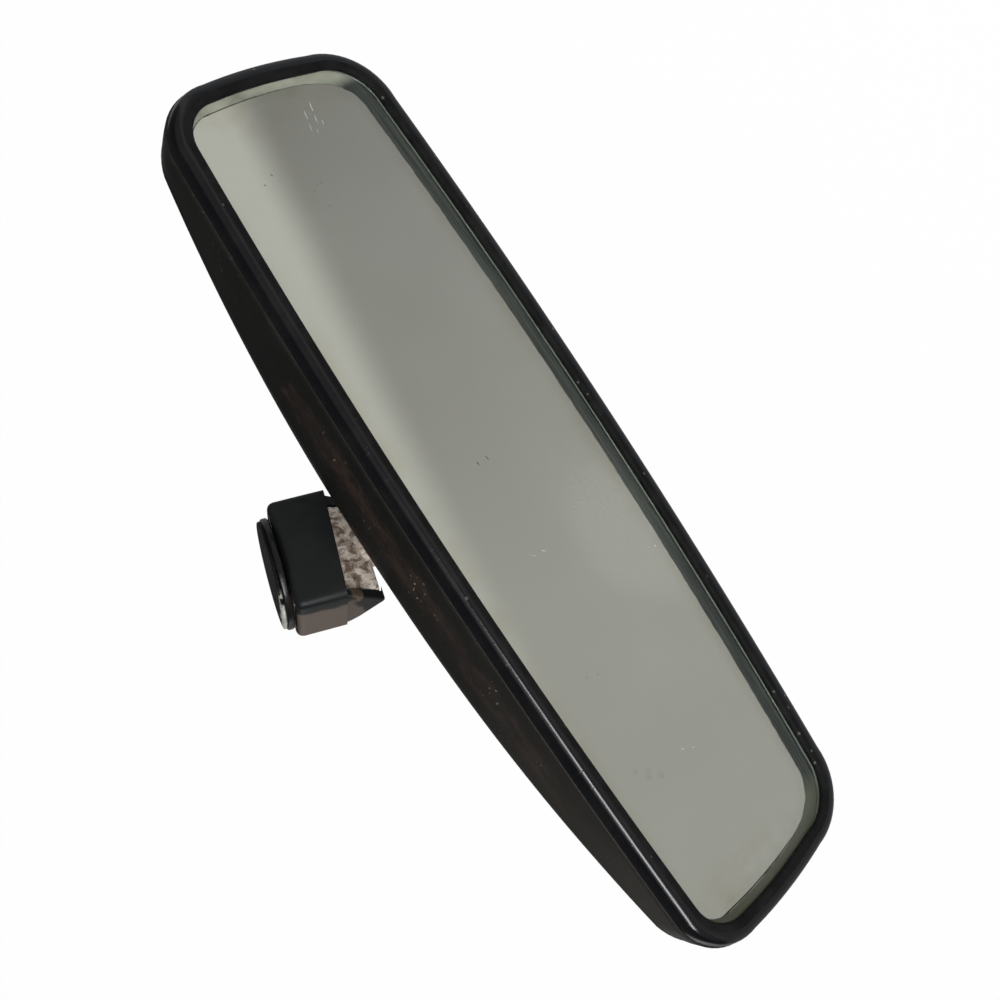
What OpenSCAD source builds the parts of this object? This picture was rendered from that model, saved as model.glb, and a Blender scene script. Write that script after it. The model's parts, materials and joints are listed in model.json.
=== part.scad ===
// Interior rear-view mirror with a ball joint and a day / night dip lever.
// Millimetres. X runs along the mirror, -Y looks at the driver, +Z is up.
// The origin is the middle of the bonding face that goes on the windscreen.

/* [Mirror face] */
// Length of the visible glass along its top edge
face_top_w = 228; // [180:1:280]
// Length of the visible glass along its bottom edge
face_bottom_w = 218.4; // [170:0.1:275]
// Height of the visible glass at its middle
face_h = 57; // [46:0.5:72]
// Outward bow of the two long edges
edge_bow = 3.9; // [0.5:0.1:6]
// Outward bow of the two ends
end_bow = 0.8; // [0:0.1:2]
// Radius of the two upper corners of the visible glass
top_corner_r = 9.3; // [5:0.1:16]
// Radius of the two lower corners of the visible glass
bottom_corner_r = 12.4; // [5:0.1:18]

/* [Bezel] */
// Clearance between the edge of the glass and the skirt
edge_gap = 0.65; // [0.2:0.05:1]
// Clearance between the skirt and the housing
skirt_gap = 0.15; // [0.1:0.05:0.3]
// Depth of the rim from its crown to the joint with the housing
rim_depth = 3.9; // [3:0.1:6]
// Thickness of the lip in front of the glass
lip_t = 1.8; // [1.2:0.1:2.4]
// How far the lip covers the edge of the glass
lip_cover = 2; // [1:0.1:3]
// Thickness of the skirt that holds the bezel in the housing
skirt_t = 1.2; // [0.7:0.1:1.4]
// Length of the skirt behind the rim
skirt_len = 3.6; // [3:0.1:4]
// Height of the snap bead on the skirt
bead_h = 0.1; // [0.05:0.05:0.15]

/* [Glass] */
// Thickness of the wedge glass at its top edge
glass_top_t = 6; // [4.5:0.1:7]
// Thickness of the wedge glass at its bottom edge
glass_bottom_t = 2.6; // [2:0.1:4]
// Thickness of the safety film on its back
film_t = 0.4; // [0.2:0.1:0.8]
// Thickness of the foam strips behind the film
foam_t = 1.6; // [1:0.1:3]
// Half the distance between the two foam strips
foam_x = 70; // [50:1:85]

/* [Housing shell] */
// Depth from the crown of the bezel to the back, at the middle
shell_depth = 36; // [32:0.5:44]
// Depth at the two ends
end_depth = 14; // [12:0.5:22]
// Wall of the housing
shell_wall = 2; // [1.2:0.1:2.4]
// How far the housing stands proud of the rim
shell_proud = 0.5; // [0:0.1:1]
// Width of the joint between rim and housing
shell_joint = 0.3; // [0.1:0.1:0.6]
// Radius where the sides roll over into the back
back_r = 10.5; // [6:0.5:14]
// Clearance around the ball socket's flange
socket_clear = 3.75; // [2.5:0.25:6]

/* [Ball joint] */
// Radius of the steel ball
ball_r = 7.5; // [6.5:0.1:8]
// Radius of the neck between the ball and the casting
neck_r = 3.2; // [2.6:0.1:3.6]
// Distance from the windscreen face to the middle of the ball
ball_drop = 45.6; // [44:0.1:56]
// How far the ball sits inside the back of the housing
ball_inset = 1.5; // [0.5:0.5:3]
// Height of the ball above the middle of the glass
ball_z = 6.5; // [4:0.5:9]
// Elevation of the socket axis above the horizontal
socket_elev = 45; // [40:1:50]
// Thickness of the nylon liner around the ball
liner_t = 0.8; // [0.6:0.1:1]
// Thickness of the spring-loaded cup under the liner
cup_t = 0.9; // [0.7:0.1:1.1]

/* [Dip mechanism] */
// Angle that the mirror tips between day and night
dip_angle = 5; // [4:0.5:6]
// Angle that the lever turns between day and night
lever_throw = 32; // [26:1:36]
// Radius of the long pin that the mirror tips on
pivot_r = 1.5; // [1.2:0.1:1.8]
// Radius of the pin that the lever turns on
lever_pin_r = 1.5; // [1.2:0.1:1.8]
// Radius of the crank pin that drives the bracket
crank_pin_r = 1.5; // [1.2:0.1:1.8]
// Radius of the lever's hub
hub_r = 4; // [3.6:0.1:4.6]
// Width of the lever's tab
tab_w = 20; // [14:1:23]
// Length of the lever from its pin to its tip
tab_len = 19; // [17:0.5:22]

/* [Windscreen mount] */
// Diameter of the button that is bonded to the windscreen
button_d = 28.6; // [26:0.2:34]
// Thickness of the clear bonding pad
pad_t = 0.8; // [0.5:0.1:1.5]
// Width of the foot cover
cover_w = 29.4; // [26:0.2:34]
// Depth of the foot cover along the windscreen
cover_d = 21.1; // [20:0.1:28]
// Height of the foot cover
cover_h = 13.8; // [10:0.1:16]
// Pitch of the windscreen face against the mirror
mount_pitch = -13.7; // [-25:0.1:0]
// Roll of the windscreen face against the mirror
mount_roll = 23.7; // [0:0.1:25]
// Swivel of the windscreen face against the mirror
mount_yaw = 14.3; // [0:0.1:20]

/* [Fits] */
// Radial clearance of a turning fit
run_gap = 0.05; // [0.02:0.01:0.1]
// Clearance between pieces that don't turn on each other
loose_gap = 0.2; // [0.1:0.05:0.4]

/* [Hidden] */
$fn = 64;

// ---- outline of the mirror: bowed long edges, round corners ----
function unit(v) = v / norm(v);
function mirrored(p) = [-p[0], p[1]];

half_top = face_top_w / 2;
half_bottom = face_bottom_w / 2;
corner_z = face_h / 2 - edge_bow;
top_corner = [half_top, corner_z];
bottom_corner = [half_bottom, -corner_z];
// directions that leave each corner along its two sides
top_in = unit([-1, 2 * edge_bow / half_top]);
end_down = unit(bottom_corner - top_corner);
bottom_in = unit([-1, -2 * edge_bow / half_bottom]);
top_half_a = acos(top_in * end_down) / 2;
bottom_half_a = acos(-end_down * bottom_in) / 2;
edge_steps = 8;
corner_steps = 6;

// the corner moved out by g, so that both of its sides move out by g
function top_at(g) = top_corner - unit(top_in + end_down) * g / sin(top_half_a);
function bottom_at(g) = bottom_corner - unit(bottom_in - end_down) * g / sin(bottom_half_a);
// arc of radius r tangent to the two directions that leave corner c
function corner_arc(c, d1, d2, half_a, r) = let(
    mid = c + unit(d1 + d2) * r / sin(half_a),
    v1 = c + d1 * r / tan(half_a) - mid,
    turn = 180 - 2 * half_a,
    a1 = atan2(v1[1], v1[0]))
    [for (k = [0:corner_steps]) let(a = a1 - turn * k / corner_steps) mid + r * [cos(a), sin(a)]];
function bow_edge(c, x_end, sign) = [for (i = [-edge_steps:edge_steps])
    let(x = x_end * i / edge_steps) [x, c[1] + sign * edge_bow * (1 - pow(x / c[0], 2))]];
function end_points(p1, p2) = [for (k = [1:3]) let(v = k / 4)
    p1 + (p2 - p1) * v + [end_bow * 4 * v * (1 - v), 0]];
function reversed(list) = [for (i = [len(list) - 1:-1:0]) list[i]];
function slice(list, from, to) = [for (i = [from:to]) list[i]];

// closed outline at distance g outside the visible glass, clockwise from the upper left
function outline(g) = let(
    ct = top_at(g),
    cb = bottom_at(g),
    rt = max(top_corner_r + g, 0.5),
    rb = max(bottom_corner_r + g, 0.5),
    arc_t = corner_arc(ct, top_in, end_down, top_half_a, rt),
    arc_b = corner_arc(cb, -end_down, bottom_in, bottom_half_a, rb),
    ends = end_points(arc_t[corner_steps], arc_b[0]),
    top = bow_edge(ct, arc_t[0][0], 1),
    bottom = reversed(bow_edge(cb, arc_b[corner_steps][0], -1)),
    right = concat(slice(arc_t, 1, corner_steps), ends, arc_b))
    concat(top, right, slice(bottom, 1, 2 * edge_steps - 1), reversed([for (p = right) mirrored(p)]));
ring_n = len(outline(0));
// index of the point in the middle of the right-hand end
end_i = 2 * edge_steps + corner_steps + 2;

// a slab with the mirror's outline, from y0 to y0 + t
module slab(g, y0, t) translate([0, y0 + t, 0]) rotate([90, 0, 0]) linear_extrude(t) polygon(outline(g));

// ring of 3D points at outline g; each point's depth comes from its own x
function flat_ring(g, y) = [for (p = outline(g)) [p[0], y, p[1]]];
function deep_ring(g, share, y0, back_cut) = [for (p = outline(g))
    [p[0], y0 + share * (back_y(p[0]) - back_cut - y0), p[1]]];
function side_faces(rows, closed) = [
    for (j = [0:(closed ? rows - 1 : rows - 2)], i = [0:ring_n - 1], h = [0, 1])
    let(a = j * ring_n + i, b = j * ring_n + (i + 1) % ring_n,
        c = ((j + 1) % rows) * ring_n + (i + 1) % ring_n, d = ((j + 1) % rows) * ring_n + i)
    h == 0 ? [a, b, c] : [a, c, d]];
// closes a ring with strips between each upper point and the lower point across from it
function cap_faces(start, flip) = [for (k = [0:ring_n / 2 - 1], h = [0, 1])
    let(a = start + (end_i - k + ring_n) % ring_n, b = start + (end_i + k) % ring_n,
        c = start + (end_i + k + 1) % ring_n, d = start + (end_i - k - 1 + ring_n) % ring_n,
        f = h == 0 ? [a, b, c] : [a, c, d])
    if (!(h == 0 && k == 0) && !(h == 1 && k == ring_n / 2 - 1)) flip ? [f[0], f[2], f[1]] : f];
module skin(rings) polyhedron(
    points = [for (r = rings) each r],
    faces = concat(side_faces(len(rings), false), cap_faces(0, true),
        cap_faces((len(rings) - 1) * ring_n, false)));
module loop_skin(rings) polyhedron(points = [for (r = rings) each r], faces = side_faces(len(rings), true));

// ---- housing ----
// width of the rim: it covers the glass edge, the skirt and the wall, less what the housing stands proud
rim_w = lip_cover + edge_gap + skirt_t + skirt_gap + shell_wall - shell_proud;
shell_g = rim_w + shell_proud;
shell_y = rim_depth + shell_joint;
outer_half_w = top_at(shell_g)[0];
function back_y(x) = shell_depth - (shell_depth - end_depth) * pow(abs(x) / outer_half_w, 2.4);
draft = 1.6;
draft_share = 0.62;
roll_steps = 5;
// the wall's profile, as [share of the depth, inset]: a drafted side, a roll-over and a flat back
side_profile = concat([[0, 0], [0.3, draft * 0.4]],
    [for (k = [0:roll_steps]) let(a = 90 * k / roll_steps)
        [draft_share + (1 - draft_share) * sin(a), draft + back_r * (1 - cos(a))]]);
outer_rings = [for (p = reversed(side_profile)) deep_ring(shell_g - p[1], p[0], shell_y, 0)];
// inside, the wall stays straight as far as the bezel's skirt reaches
inner_rings = concat(
    [for (y = [shell_y, rim_depth + skirt_len + 0.6]) flat_ring(shell_g - shell_wall, y)],
    [for (p = slice(side_profile, 2, roll_steps + 2))
        deep_ring(shell_g - shell_wall - p[1], p[0], shell_y, shell_wall)]);

// ---- glass ----
glass_half = face_h / 2 + lip_cover;
wedge_a = atan((glass_top_t - glass_bottom_t) / (2 * glass_half));
glass_mid_t = (glass_top_t + glass_bottom_t) / 2;
big = 2 * face_top_w;
// everything behind a plane that is parallel to the back of the glass, d behind it
module behind_glass(d, t) translate([0, lip_t + glass_mid_t, 0]) rotate([-wedge_a, 0, 0])
    translate([-big / 2, d, -face_h]) cube([big, t, 2 * face_h]);
foam_half_h = face_h / 2 - 6.5;
foam_w = 8;

// ---- dip mechanism ----
pivot_y = 15;
pivot_z = face_h / 2 - 6.5;
lever_y = 16;
lever_z = -face_h / 2 + 4.5;
half_throw = lever_throw / 2;
// crank radius that tips the mirror by dip_angle over the lever's throw
throw_k = sin(dip_angle / 2) / sin(half_throw);
crank_r = (pivot_z - lever_z) * throw_k / (1 + throw_k * cos(half_throw));
crank_y = lever_y - crank_r * sin(half_throw);
crank_z = lever_z + crank_r * cos(half_throw);
flat_d = hub_r - 0.4;
flat_corner_r = flat_d / cos(half_throw);
spring_t = 0.5;
spring_y = lever_y + flat_corner_r + 2 * run_gap;
hub_half = 12;
lever_ear_in = hub_half + 0.6;
lever_ear_t = 4.4;
web_half = 2.8;
tine_in = web_half + 0.8;
tine_w = 4;
crank_half = tine_in + tine_w - 0.2;
pivot_ear_in = 28;
pivot_ear_t = 5;
pivot_half = pivot_ear_in + pivot_ear_t + 2;
knuckle_in = 20;
knuckle_r = pivot_r + 1.9;
wall_z = face_h / 2 + shell_g - shell_wall;
tab_t = 2.6;
grip_r = 2.1;

// ---- ball joint ----
ball_y = shell_depth - ball_inset;
liner_in_r = ball_r + run_gap;
liner_out_r = liner_in_r + liner_t;
liner_top = ball_r * 0.53;
seat_r = liner_out_r + run_gap;
cup_in_r = liner_out_r + 2 * run_gap;
cup_out_r = cup_in_r + cup_t;
cup_top = -cup_out_r * 0.34;
well_r = cup_out_r + 2 * run_gap;
spring_pocket_r = 5.8;
disc_t = 0.7;
disc_cone = 0.6;
disc_in_r = 2.6;
spring_top = disc_cone - sqrt(cup_out_r * cup_out_r - disc_in_r * disc_in_r) - 0.02;
spring_bottom = spring_top - 2 * (disc_t + disc_cone);
socket_r = well_r + 3.1;
flange_r = well_r + 5.8;
flange_t = 5;
socket_floor = 2;
// the opening sits a little above the ball, to let the neck lean up
socket_hole_z = ball_z + 3.3;
socket_bottom = spring_bottom - loose_gap - socket_floor;
retainer_flange = 2.4;
retainer_top = liner_top + 1.4;
screw_pcr = well_r + 3.1;
screw_r = 1.3;
lug_y = ball_y - 15;
lug_t = 4;
lug_half = 20;
lug_screw_x = 16.8;
bracket_t = 2.5;
bracket_half = 22;
bracket_bottom = -12;

// ---- windscreen mount, in its own frame: z is out through the windscreen ----
function mount_out() = [
    cos(mount_pitch) * sin(mount_roll) * cos(mount_yaw) + sin(mount_pitch) * sin(mount_yaw),
    cos(mount_pitch) * sin(mount_roll) * sin(mount_yaw) - sin(mount_pitch) * cos(mount_yaw),
    cos(mount_pitch) * cos(mount_roll)];
ball_pos = -ball_drop * mount_out();
mirror_pos = ball_pos - [0, ball_y, ball_z];
flange_h = 1.8;
dovetail_top = -pad_t - flange_h;
dovetail_h = 3.6;
dovetail_in = 7.5;
dovetail_out = 9.5;
dovetail_front = -9.5;
dovetail_back = 6;
cover_wall = 1.5;
cover_front = -11.4;
cover_back = cover_front + cover_d;
cover_top = -2.9;
cover_bottom = cover_top - cover_h;
cover_skew = 1.85;
cover_edge_r = 1.6;
casting_top = -3.1;
casting_half = cover_w / 2 - cover_wall - 0.3;
casting_front = cover_front + cover_wall + 0.5;
casting_back = cover_back - cover_wall - 0.2;
boss_end = -ball_drop + 18.5;
boss_r = 4.4;
arm_front = -8;
arm_back = 6;
arm_half = casting_half - 1.2;
arm_z = -15.5;
web_front = -2.1;
web_z = boss_end + 2.2;
shank_r = 2.4;
shank_len = 8;
grub_r = 2;
grub_z = -5;

module in_mirror() translate(mirror_pos) children();
module in_socket() in_mirror() translate([0, ball_y, ball_z]) rotate([socket_elev - 90, 0, 0]) children();
module on_screen() rotate([mount_pitch, mount_roll, mount_yaw]) children();
module in_lever() in_mirror() translate([0, lever_y, lever_z]) rotate([half_throw, 0, 0]) children();
// rod along x, from x1 to x2
module rod(r, x1, x2) translate([x1, 0, 0]) rotate([0, 90, 0]) cylinder(r = r, h = x2 - x1);
module both_sides() for (s = [-1, 1]) scale_x(s) children();
module scale_x(s) if (s < 0) mirror([1, 0, 0]) children(); else children();

// ---- windscreen side ----
module adhesive_pad() color("honeydew") on_screen()
    translate([0, 0, -pad_t]) cylinder(d = button_d - 1, h = pad_t);

// dovetail bar, wider away from the windscreen, grown by c all round
module dovetail(y1, y2, c) translate([0, y2, dovetail_top]) rotate([90, 0, 0]) linear_extrude(y2 - y1)
    polygon([[-dovetail_in - c, 0], [dovetail_in + c, 0], [dovetail_out + c, -dovetail_h - c],
        [-dovetail_out - c, -dovetail_h - c]]);

module windscreen_button() color("dimgray") on_screen() {
    translate([0, 0, dovetail_top]) cylinder(d = button_d, h = flange_h);
    dovetail(dovetail_front, dovetail_back, 0);
}

leaf_t = 0.4;
module button_spring() color("lightsteelblue") on_screen()
    translate([-5, dovetail_front + 3, dovetail_top - dovetail_h - loose_gap - leaf_t])
        cube([10, 11, leaf_t]);

module mount_casting() color("silver") on_screen() difference() {
    union() {
        translate([-casting_half, casting_front, arm_z])
            cube([2 * casting_half, casting_back - casting_front, casting_top - arm_z]);
        // tapered arm from the foot to the boss, with a wide slanting face in front
        hull() {
            translate([-arm_half, arm_front, arm_z]) cube([2 * arm_half, arm_back - arm_front, 2]);
            translate([-arm_half, web_front, web_z]) cube([2 * arm_half, 3, 1]);
            translate([0, 0, boss_end + 5]) cylinder(r = boss_r, h = 1, $fn = 32);
        }
        translate([0, 0, boss_end]) cylinder(r = boss_r, h = 6);
    }
    dovetail(casting_front - 1, dovetail_back + loose_gap, loose_gap);
    // recess for the spring under the button
    translate([-5.3, dovetail_front + 2.7, dovetail_top - dovetail_h - loose_gap - leaf_t])
        cube([10.6, 11.6, 1]);
    translate([0, 0, boss_end - 1]) cylinder(r = shank_r, h = shank_len + 1);
    translate([0, -1, grub_z]) rod(grub_r, 0, casting_half + 1);
}

module set_screw() color("gray") on_screen() translate([0, -1, grub_z]) difference() {
    rod(grub_r, dovetail_out + loose_gap, casting_half + 0.3);
    // hexagon socket for a 2 mm key
    translate([casting_half - 1.2, 0, 0]) rotate([0, 90, 0]) cylinder(r = 1.15, h = 3, $fn = 6);
}

// box with round vertical edges
module round_box(w, d, h, r) {
    translate([r, 0, 0]) cube([w - 2 * r, d, h]);
    translate([0, r, 0]) cube([w, d - 2 * r, h]);
    for (x = [r, w - r], y = [r, d - r]) translate([x, y, 0]) cylinder(r = r, h = h);
}

// below the cover's slanting lower edge; d lowers the plane
module under_cover(d) translate([0, 0, cover_bottom - d]) rotate([0, asin(cover_skew / cover_w), 0])
    translate([-cover_w, cover_front - 5, -40]) cube([2 * cover_w, cover_d + 10, 40]);

module foot_cover() color("#303234") on_screen() difference() {
    translate([-cover_w / 2, cover_front, cover_bottom - 3])
        round_box(cover_w, cover_d, cover_h + 3, cover_edge_r);
    translate([-cover_w / 2 + cover_wall, cover_front + cover_wall, cover_bottom - 4])
        cube([cover_w - 2 * cover_wall, cover_d - 2 * cover_wall, cover_h + 5]);
    under_cover(0);
    // way in for the key of the set screw
    translate([0, -1, grub_z - 0.6]) rod(grub_r + 0.5, casting_half, cover_w);
}

// side view of the shroud, as [along the windscreen, out of it]
shroud_back = cover_back - 1.1;
shroud_half = cover_w / 2 - 0.4;
shroud_end = -26.5;
cheek_in = arm_half + 0.3;
shroud_profile = [[arm_front - 0.6, cover_bottom + 3], [arm_front - 0.6, cover_bottom - 0.8],
    [-1.2, shroud_end + 1.2], [-0.5, shroud_end + 0.6], [0.3, shroud_end + 1.2],
    [shroud_back - 2.2, cover_bottom - 2.6], [shroud_back - 0.6, cover_bottom - 0.2],
    [shroud_back, cover_bottom + 2], [shroud_back, cover_bottom + 3]];
module arm_shroud() color("#2a2b2c") on_screen() difference() {
    intersection() {
        translate([shroud_half, 0, 0]) rotate([0, -90, 0]) rotate([0, 0, -90]) mirror([1, 0, 0])
            linear_extrude(2 * shroud_half) polygon(shroud_profile);
        under_cover(0.15);
    }
    // room for the arm between the two cheeks
    hull() {
        translate([-cheek_in, arm_front - 2, web_z - 0.3])
            cube([2 * cheek_in, arm_back + 2.4 - arm_front, arm_z + 1.8 - web_z]);
        translate([-boss_r - 0.5, arm_front - 2, boss_end])
            cube([2 * boss_r + 1, boss_r + 2.5 - arm_front, 3]);
    }
}

module ball_stud() color("lightgray") on_screen() {
    translate([0, 0, -ball_drop]) sphere(r = ball_r, $fn = 96);
    translate([0, 0, -ball_drop]) cylinder(r = neck_r, h = boss_end + ball_drop);
    translate([0, 0, boss_end - 1.4]) cylinder(r = boss_r - 0.6, h = 1.4);
    translate([0, 0, boss_end]) cylinder(r = shank_r, h = shank_len);
}

// ---- ball socket ----
module ball_liner() color("ivory") in_socket() difference() {
    sphere(r = liner_out_r, $fn = 96);
    sphere(r = liner_in_r, $fn = 96);
    translate([0, 0, liner_top]) cylinder(r = 2 * ball_r, h = 2 * ball_r);
}

module pressure_cup() color("lightsteelblue") in_socket() difference() {
    sphere(r = cup_out_r, $fn = 96);
    sphere(r = cup_in_r, $fn = 96);
    translate([0, 0, cup_top]) cylinder(r = 2 * ball_r, h = 3 * ball_r);
}

// one cone washer; its rim is up, or down when flipped
module cone_washer() rotate_extrude() polygon([[disc_in_r, 0], [5.2, disc_cone],
    [5.2, disc_cone + disc_t], [disc_in_r, disc_t]]);
module disc_springs() color("steelblue") in_socket() {
    translate([0, 0, spring_top - disc_cone - disc_t]) cone_washer();
    translate([0, 0, spring_top - disc_cone - disc_t - 0.02]) mirror([0, 0, 1]) cone_washer();
}

module socket_lug() translate([9, lug_y, -5]) cube([lug_half - 9, lug_t, 10]);
module socket_body() color("darkgray") difference() {
    union() {
        in_socket() {
            translate([0, 0, -flange_t]) cylinder(r = flange_r, h = flange_t);
            translate([0, 0, -9]) cylinder(r = socket_r, h = 9);
            translate([0, 0, socket_bottom])
                cylinder(r1 = spring_pocket_r + 2, r2 = socket_r, h = -9 - socket_bottom);
        }
        in_mirror() both_sides() socket_lug();
    }
    in_socket() {
        sphere(r = well_r, $fn = 96);
        translate([0, 0, socket_bottom + socket_floor])
            cylinder(r = spring_pocket_r, h = -socket_bottom - socket_floor);
        for (a = [30:120:270]) rotate([0, 0, a])
            translate([screw_pcr, 0, -flange_t + 0.8]) cylinder(r = screw_r, h = flange_t);
    }
    in_mirror() both_sides() translate([lug_screw_x, lug_y - 1, 0]) rotate([-90, 0, 0])
        cylinder(r = screw_r, h = lug_t);
}

module socket_retainer() color("gray") in_socket() difference() {
    union() {
        cylinder(r = flange_r, h = retainer_flange);
        translate([0, 0, retainer_flange])
            cylinder(r1 = socket_r - 0.6, r2 = seat_r + 1.7, h = retainer_top - retainer_flange);
    }
    sphere(r = seat_r, $fn = 96);
    // mouth that lets the neck lean
    translate([0, 0, liner_top]) cylinder(r1 = sqrt(seat_r * seat_r - liner_top * liner_top) - 0.01,
        r2 = sqrt(seat_r * seat_r - liner_top * liner_top) + 2.4, h = retainer_top - liner_top + 0.01);
    for (a = [30:120:270]) rotate([0, 0, a]) translate([screw_pcr, 0, -1]) {
        cylinder(r = screw_r + loose_gap, h = 5);
        translate([0, 0, retainer_flange + 1]) cylinder(r = 2 * screw_r - 0.2, h = 9);
    }
}

// pan-head screw, its head's seat at z = 0
module pan_screw(r, len) difference() {
    union() {
        cylinder(r = 2 * r - 0.4, h = 1.5);
        translate([0, 0, -len]) cylinder(r = r, h = len);
    }
    for (a = [0, 90]) rotate([0, 0, a]) translate([-r, -0.3, 0.7]) cube([2 * r, 0.6, 1]);
}
module retainer_screws() color("silver") in_socket() for (a = [30:120:270])
    rotate([0, 0, a]) translate([screw_pcr, 0, retainer_flange])
        pan_screw(screw_r, retainer_flange + flange_t - 1.5);

// ---- bracket between the socket and the dip pivot ----
bracket_y = lug_y - bracket_t;
window_half = lug_screw_x - 3.2;
window_top = pivot_z - 1.6;
window_bottom = bracket_bottom + 3;
module pivot_bracket() color("#3a3a3a") in_mirror() difference() {
    union() {
        translate([-bracket_half, bracket_y, bracket_bottom])
            cube([2 * bracket_half, bracket_t, pivot_z + knuckle_r - bracket_bottom]);
        both_sides() {
            translate([0, pivot_y, pivot_z]) rod(knuckle_r, knuckle_in, pivot_ear_in - 1);
            translate([knuckle_in, pivot_y, pivot_z - knuckle_r])
                cube([bracket_half - knuckle_in, bracket_y + bracket_t - pivot_y, 2 * knuckle_r]);
            // forked tine around the crank pin
            translate([tine_in, crank_y - 3.3, lever_z + hub_r + 0.7])
                cube([tine_w, bracket_y + bracket_t - crank_y + 3.3, bracket_bottom - lever_z - hub_r + 1.3]);
        }
    }
    translate([-window_half, bracket_y - 1, window_bottom])
        cube([2 * window_half, bracket_t + 2, window_top - window_bottom]);
    translate([0, pivot_y, pivot_z]) rod(pivot_r + run_gap, -pivot_ear_in, pivot_ear_in);
    // slot that the crank pin slides in, open downwards, and room behind it for the crank
    translate([-bracket_half, crank_y - crank_pin_r - 2 * run_gap, lever_z]) cube([2 * bracket_half,
        2 * (crank_pin_r + 2 * run_gap), crank_z - lever_z + crank_pin_r + 0.6]);
    translate([-bracket_half, crank_y + 3.3, lever_z])
        cube([2 * bracket_half, 10, bracket_bottom - 3.5 - lever_z]);
    both_sides() translate([lug_screw_x, bracket_y - 1, 0]) rotate([-90, 0, 0])
        cylinder(r = screw_r + loose_gap, h = bracket_t + 2);
}

module bracket_screws() color("silver") in_mirror() both_sides()
    translate([lug_screw_x, bracket_y, 0]) rotate([90, 0, 0]) pan_screw(screw_r, bracket_t + lug_t - 1.5);

// ---- mirror housing ----
module shell_ear(x, y1, y2, z1, z2, t) translate([x, y1, z1]) cube([t, y2 - y1, z2 - z1]);
module housing_shell() color("#2b2c2d") in_mirror() difference() {
    union() {
        skin(concat(outer_rings, inner_rings));
        both_sides() {
            shell_ear(pivot_ear_in, pivot_y - 5, pivot_y + 7, pivot_z - 5, wall_z - 0.4 * draft, pivot_ear_t);
            shell_ear(lever_ear_in, lever_y - 5, lever_y + 5.5, 0.4 * draft - wall_z, lever_z + 5,
                lever_ear_t);
            // rib that backs the foam strip
            difference() {
                translate([foam_x - foam_w / 2, lip_t, -foam_half_h + 4])
                    cube([foam_w, back_y(foam_x + foam_w / 2) - shell_wall / 2 - lip_t, 2 * foam_half_h - 8]);
                behind_glass(film_t + foam_t - face_h, face_h);
            }
        }
    }
    translate([0, ball_y - 9, socket_hole_z]) rotate([-90, 0, 0])
        cylinder(r = flange_r + socket_clear, h = 30);
    translate([0, pivot_y, pivot_z]) rod(pivot_r, -pivot_half, pivot_half);
    translate([0, lever_y, lever_z]) rod(lever_pin_r, -lever_ear_in - 5, lever_ear_in + 5);
    // slot that the lever's tab swings in
    translate([-tab_w / 2 - 1.6, lever_y - 5.4, -wall_z - 6]) cube([tab_w + 3.2, 10.8, 9]);
    // notches that hold the leaf spring's ends
    translate([-lever_ear_in - lever_ear_t - 1, spring_y - 0.05, lever_z - 2.1])
        cube([2 * (lever_ear_in + lever_ear_t + 1), spring_t + 0.1, 4.2]);
}

// bezel section, as [distance outside the visible glass, depth]
skirt_out = shell_g - shell_wall - skirt_gap;
skirt_y = rim_depth + skirt_len;
bezel_section = [[0.2, lip_t], [0, 1.2], [0.35, 0.5], [1.2, 0.08], [rim_w / 2 - 0.1, 0], [rim_w - 1.6, 0.1],
    [rim_w - 0.7, 0.55], [rim_w - 0.15, 1.3], [rim_w + 0.05, 2.2], [rim_w + 0.15, rim_depth],
    [skirt_out, rim_depth], [skirt_out, skirt_y - 2.4],
    [skirt_out + bead_h, skirt_y - 1.4], [skirt_out, skirt_y],
    [skirt_out - skirt_t, skirt_y], [skirt_out - skirt_t, lip_t]];
module bezel() color("#121315") in_mirror() loop_skin([for (p = bezel_section) flat_ring(p[0], p[1])]);

module prism_glass() color("#8d9385") in_mirror() difference() {
    slab(lip_cover, lip_t, glass_top_t + 1);
    behind_glass(0, 20);
}

module backing_film() color("#1c1c1c") in_mirror() intersection() {
    slab(lip_cover - 0.5, 1, glass_top_t + 3);
    behind_glass(0, film_t);
}

module foam_strips() color("#3c3c3c") in_mirror() both_sides() intersection() {
    behind_glass(film_t, foam_t);
    translate([foam_x - foam_w / 2, 0, -foam_half_h]) cube([foam_w, shell_depth, 2 * foam_half_h]);
}

clip_t = 0.7;
module pivot_pin() color("lightgray") in_mirror() translate([0, pivot_y, pivot_z]) difference() {
    rod(pivot_r, -pivot_half, pivot_half);
    both_sides() translate([pivot_ear_in + pivot_ear_t + 0.1, 0, 0]) rotate([0, 90, 0]) difference() {
        cylinder(r = pivot_r + 1, h = clip_t + 0.1);
        translate([0, 0, -1]) cylinder(r = pivot_r - 0.4, h = 3);
    }
}

module pin_clips() color("slategray") in_mirror() both_sides()
    translate([pivot_ear_in + pivot_ear_t + 0.15, pivot_y, pivot_z]) rotate([0, 90, 0]) difference() {
        cylinder(r = pivot_r + 1.6, h = clip_t - 0.05);
        translate([0, 0, -1]) cylinder(r = pivot_r - 0.35, h = 3);
        translate([-pivot_r + 0.5, 0, -1]) cube([2 * pivot_r - 1, 5, 3]);
    }

module lever_pin() color("lightgray") in_mirror() translate([0, lever_y, lever_z])
    rod(lever_pin_r, -lever_ear_in - lever_ear_t - 0.4, lever_ear_in + lever_ear_t + 0.4);

module detent_spring() color("lightsteelblue") in_mirror()
    translate([-lever_ear_in - lever_ear_t - 0.6, spring_y, lever_z - 2])
        cube([2 * (lever_ear_in + lever_ear_t + 0.6), spring_t, 4]);

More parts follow.
